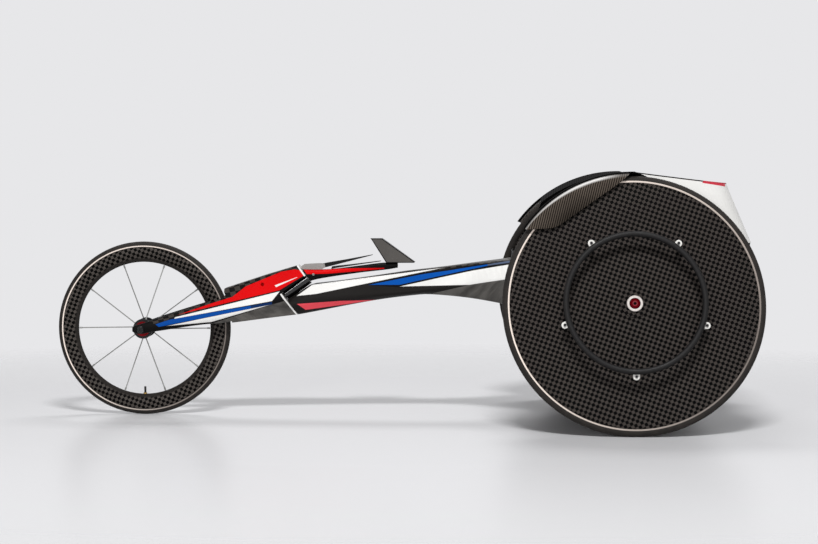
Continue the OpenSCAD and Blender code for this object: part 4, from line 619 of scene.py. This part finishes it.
def swell(pad, floor):
    """Cloth run with air pressure; the underside stays where it rests."""
    start = [v.co.copy() for v in pad.data.vertices]
    rest = pad.vertex_groups.new(name="rest")
    rest.add([i for i, co in enumerate(start) if co.z < floor + REST_BAND], 1.0, "REPLACE")
    cloth = pad.modifiers.new("swell", "CLOTH")
    cloth.settings.vertex_group_mass = "rest"
    cloth.settings.use_pressure = True
    cloth.settings.uniform_pressure_force = SWELL_PRESSURE
    cloth.settings.effector_weights.gravity = 0
    cloth.point_cache.frame_end = SWELL_FRAMES
    for step in range(1, SWELL_FRAMES + 1):
        scene.frame_set(step)
    swollen = evaluated_mesh(pad)
    pad.modifiers.remove(cloth)
    pad.vertex_groups.clear()
    for vertex, before, after in zip(pad.data.vertices, start, swollen.vertices):
        move = after.co - before
        if move.length > SWELL_CAP:
            move *= SWELL_CAP / move.length
        vertex.co = before + move
    bpy.data.meshes.remove(swollen)
    scene.frame_set(1)


def inflated_pad(node, name, cover):
    """A foam pad in the space of a CAD pad: remeshed, swollen by a cloth run and held flat below."""
    low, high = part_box(node)
    centre, half = (low + high) / 2, (high - low) / 2
    pad = bpy.data.objects.new(name, nodes[node].data.copy())
    scene.collection.objects.link(pad)
    for vertex in pad.data.vertices:
        for axis in (0, 1):
            vertex.co[axis] = centre[axis] + (vertex.co[axis] - centre[axis]) * (1 - SHRINK / half[axis])
        vertex.co.z = low.z + (vertex.co.z - low.z) * (1 - SHRINK / (2 * half.z))
    remesh = pad.modifiers.new("even_mesh", "REMESH")
    remesh.mode = "VOXEL"
    remesh.voxel_size = VOXEL
    pad.data = evaluated_mesh(pad)
    pad.modifiers.clear()
    swell(pad, low.z)
    rounding = pad.modifiers.new("rounding", "SUBSURF")
    rounding.levels = rounding.render_levels = 1
    pad.data.materials.clear()
    pad.data.materials.append(cover)
    pad.data.shade_smooth()
    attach(pad, "frame")
    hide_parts(node)
    return pad


PIPING_R = 2.2 * MM
PIPING_POINTS = 72


def piping(pad, name, share, cover):
    """Sewn-in cord round a pad at a share of its height, laid on the pad's own surface."""
    corners = [Vector(c) for c in pad.bound_box]
    low = Vector(map(min, *corners))
    high = Vector(map(max, *corners))
    centre = (low + high) / 2
    centre.z = low.z + share * (high.z - low.z)
    curve = bpy.data.curves.new(name, "CURVE")
    curve.dimensions = "3D"
    curve.bevel_depth = PIPING_R
    curve.bevel_resolution = 2
    spline = curve.splines.new("POLY")
    spline.points.add(PIPING_POINTS - 1)
    spline.use_cyclic_u = True
    for k, point in enumerate(spline.points):
        angle = 2 * math.pi * k / PIPING_POINTS
        towards = Vector((math.cos(angle) * (high.x - low.x), math.sin(angle) * (high.y - low.y), 0))
        _, place, _, _ = pad.ray_cast(centre, towards.normalized())
        point.co = (*place, 1)
    cord = bpy.data.objects.new(name, curve)
    scene.collection.objects.link(cord)
    curve.materials.append(cover)
    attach(cord, "frame")


knit = knitted_cover("knitted_polyester_cover", "#131314", "#2B2B2D")
edging = knitted_cover("woven_edging", "#0E0E0F", "#1E1E20")
seat_pad = inflated_pad("seat_cushion", "seat_pad", knit)
knee_rest = inflated_pad("knee_pad", "knee_rest", knit)
bpy.context.view_layer.update()
piping(seat_pad, "seat_piping", share=0.8, cover=edging)
piping(knee_rest, "knee_piping", share=0.72, cover=edging)


# Studio: a pale floor that fades into a pale surround, a lamp above the far side, a key lamp above the
# near side, a broad low fill and a small lamp low at the front for the glint on the head tube
SURROUND = "#E7E7E9"
SURROUND_STRENGTH = 0.2
FLOOR = "#DEDEE0"
FLOOR_SQUEEZE = (0.6, 1, 0)
FLOOR_FADE_FROM = 0.8
FLOOR_FADE_TO = 1.9
CHAIR_MIDDLE = Vector((0.1, 0, 0.3))
# name, watts, width, depth, place
LAMPS = [
    ("overhead", 75, 2.4, 1.0, (0.1, 2.0, 4.6)),
    ("key", 250, 1.5, 0.6, (0.3, -3.6, 5.0)),
    ("front", 130, 4.0, 2.0, (2.4, -9.6, 1.6)),
    ("side", 40, 0.8, 0.8, (-2.09, -5.59, 1.58)),
]


def pale_floor():
    """Painted floor that takes the shadow and fades out to the surround far from the chair."""
    material, tree, shader = new_finish("painted_studio_floor", Roughness=0.3, Specular_IOR_Level=0.2)
    shader.inputs["Base Color"].default_value = srgb(FLOOR)
    oval = {0: add(tree, "TexCoord", out="Object"), 1: FLOOR_SQUEEZE}
    place = add(tree, "VectorMath", oval, operation="MULTIPLY")
    away = add(tree, "VectorMath", {0: place}, 1, operation="LENGTH")
    faded = add(tree, "MapRange", {0: away, 1: FLOOR_FADE_FROM, 2: FLOOR_FADE_TO})
    clear = add(tree, "BsdfTransparent")
    mix = add(tree, "MixShader", {0: faded, 1: shader.outputs[0], 2: clear})
    tree.links.new(mix, tree.nodes["Material Output"].inputs["Surface"])
    bpy.ops.mesh.primitive_plane_add(size=4 * FLOOR_FADE_TO)
    floor = bpy.context.object
    floor.name = "studio_floor"
    floor.data.materials.append(material)


def surround_light():
    """Even light from all round; the camera and the gloss see the pale surround."""
    world = bpy.data.worlds.new("studio")
    world.use_nodes = True
    scene.world = world
    tree = world.node_tree
    sky = tree.nodes["Background"]
    sky.inputs["Color"].default_value = srgb(SURROUND)
    rays = add(tree, "LightPath").node.outputs
    seen = add(tree, "Math", {0: rays["Is Camera Ray"], 1: rays["Is Glossy Ray"]}, operation="MAXIMUM")
    strength = add(tree, "MapRange", {0: seen, 3: SURROUND_STRENGTH, 4: 1.0})
    tree.links.new(strength, sky.inputs["Strength"])


def studio_lamp(name, watts, width, depth, place):
    """Area lamp turned to the middle of the chair."""
    lamp = bpy.data.lights.new(name, "AREA")
    lamp.shape = "RECTANGLE"
    lamp.energy, lamp.size, lamp.size_y = watts, width, depth
    light = bpy.data.objects.new(name, lamp)
    light.location = place
    light.rotation_euler = (CHAIR_MIDDLE - Vector(place)).to_track_quat("-Z", "Y").to_euler()
    scene.collection.objects.link(light)


pale_floor()
surround_light()
for row in LAMPS:
    studio_lamp(*row)


# Camera where the photograph was taken from
LENS_MM = 75.1
SENSOR_MM = 36
CAMERA_PLACE = (0.1928, -4.6302, 0.6785)
CAMERA_TILT = math.radians(86.4614)
CAMERA_TURN = math.radians(2.1018)

camera_data = bpy.data.cameras.new("camera")
camera_data.lens = LENS_MM
camera_data.sensor_width = SENSOR_MM
camera = bpy.data.objects.new("camera", camera_data)
camera.location = CAMERA_PLACE
camera.rotation_euler = (CAMERA_TILT, 0, CAMERA_TURN)
scene.collection.objects.link(camera)
scene.camera = camera
scene.view_settings.view_transform = "Standard"
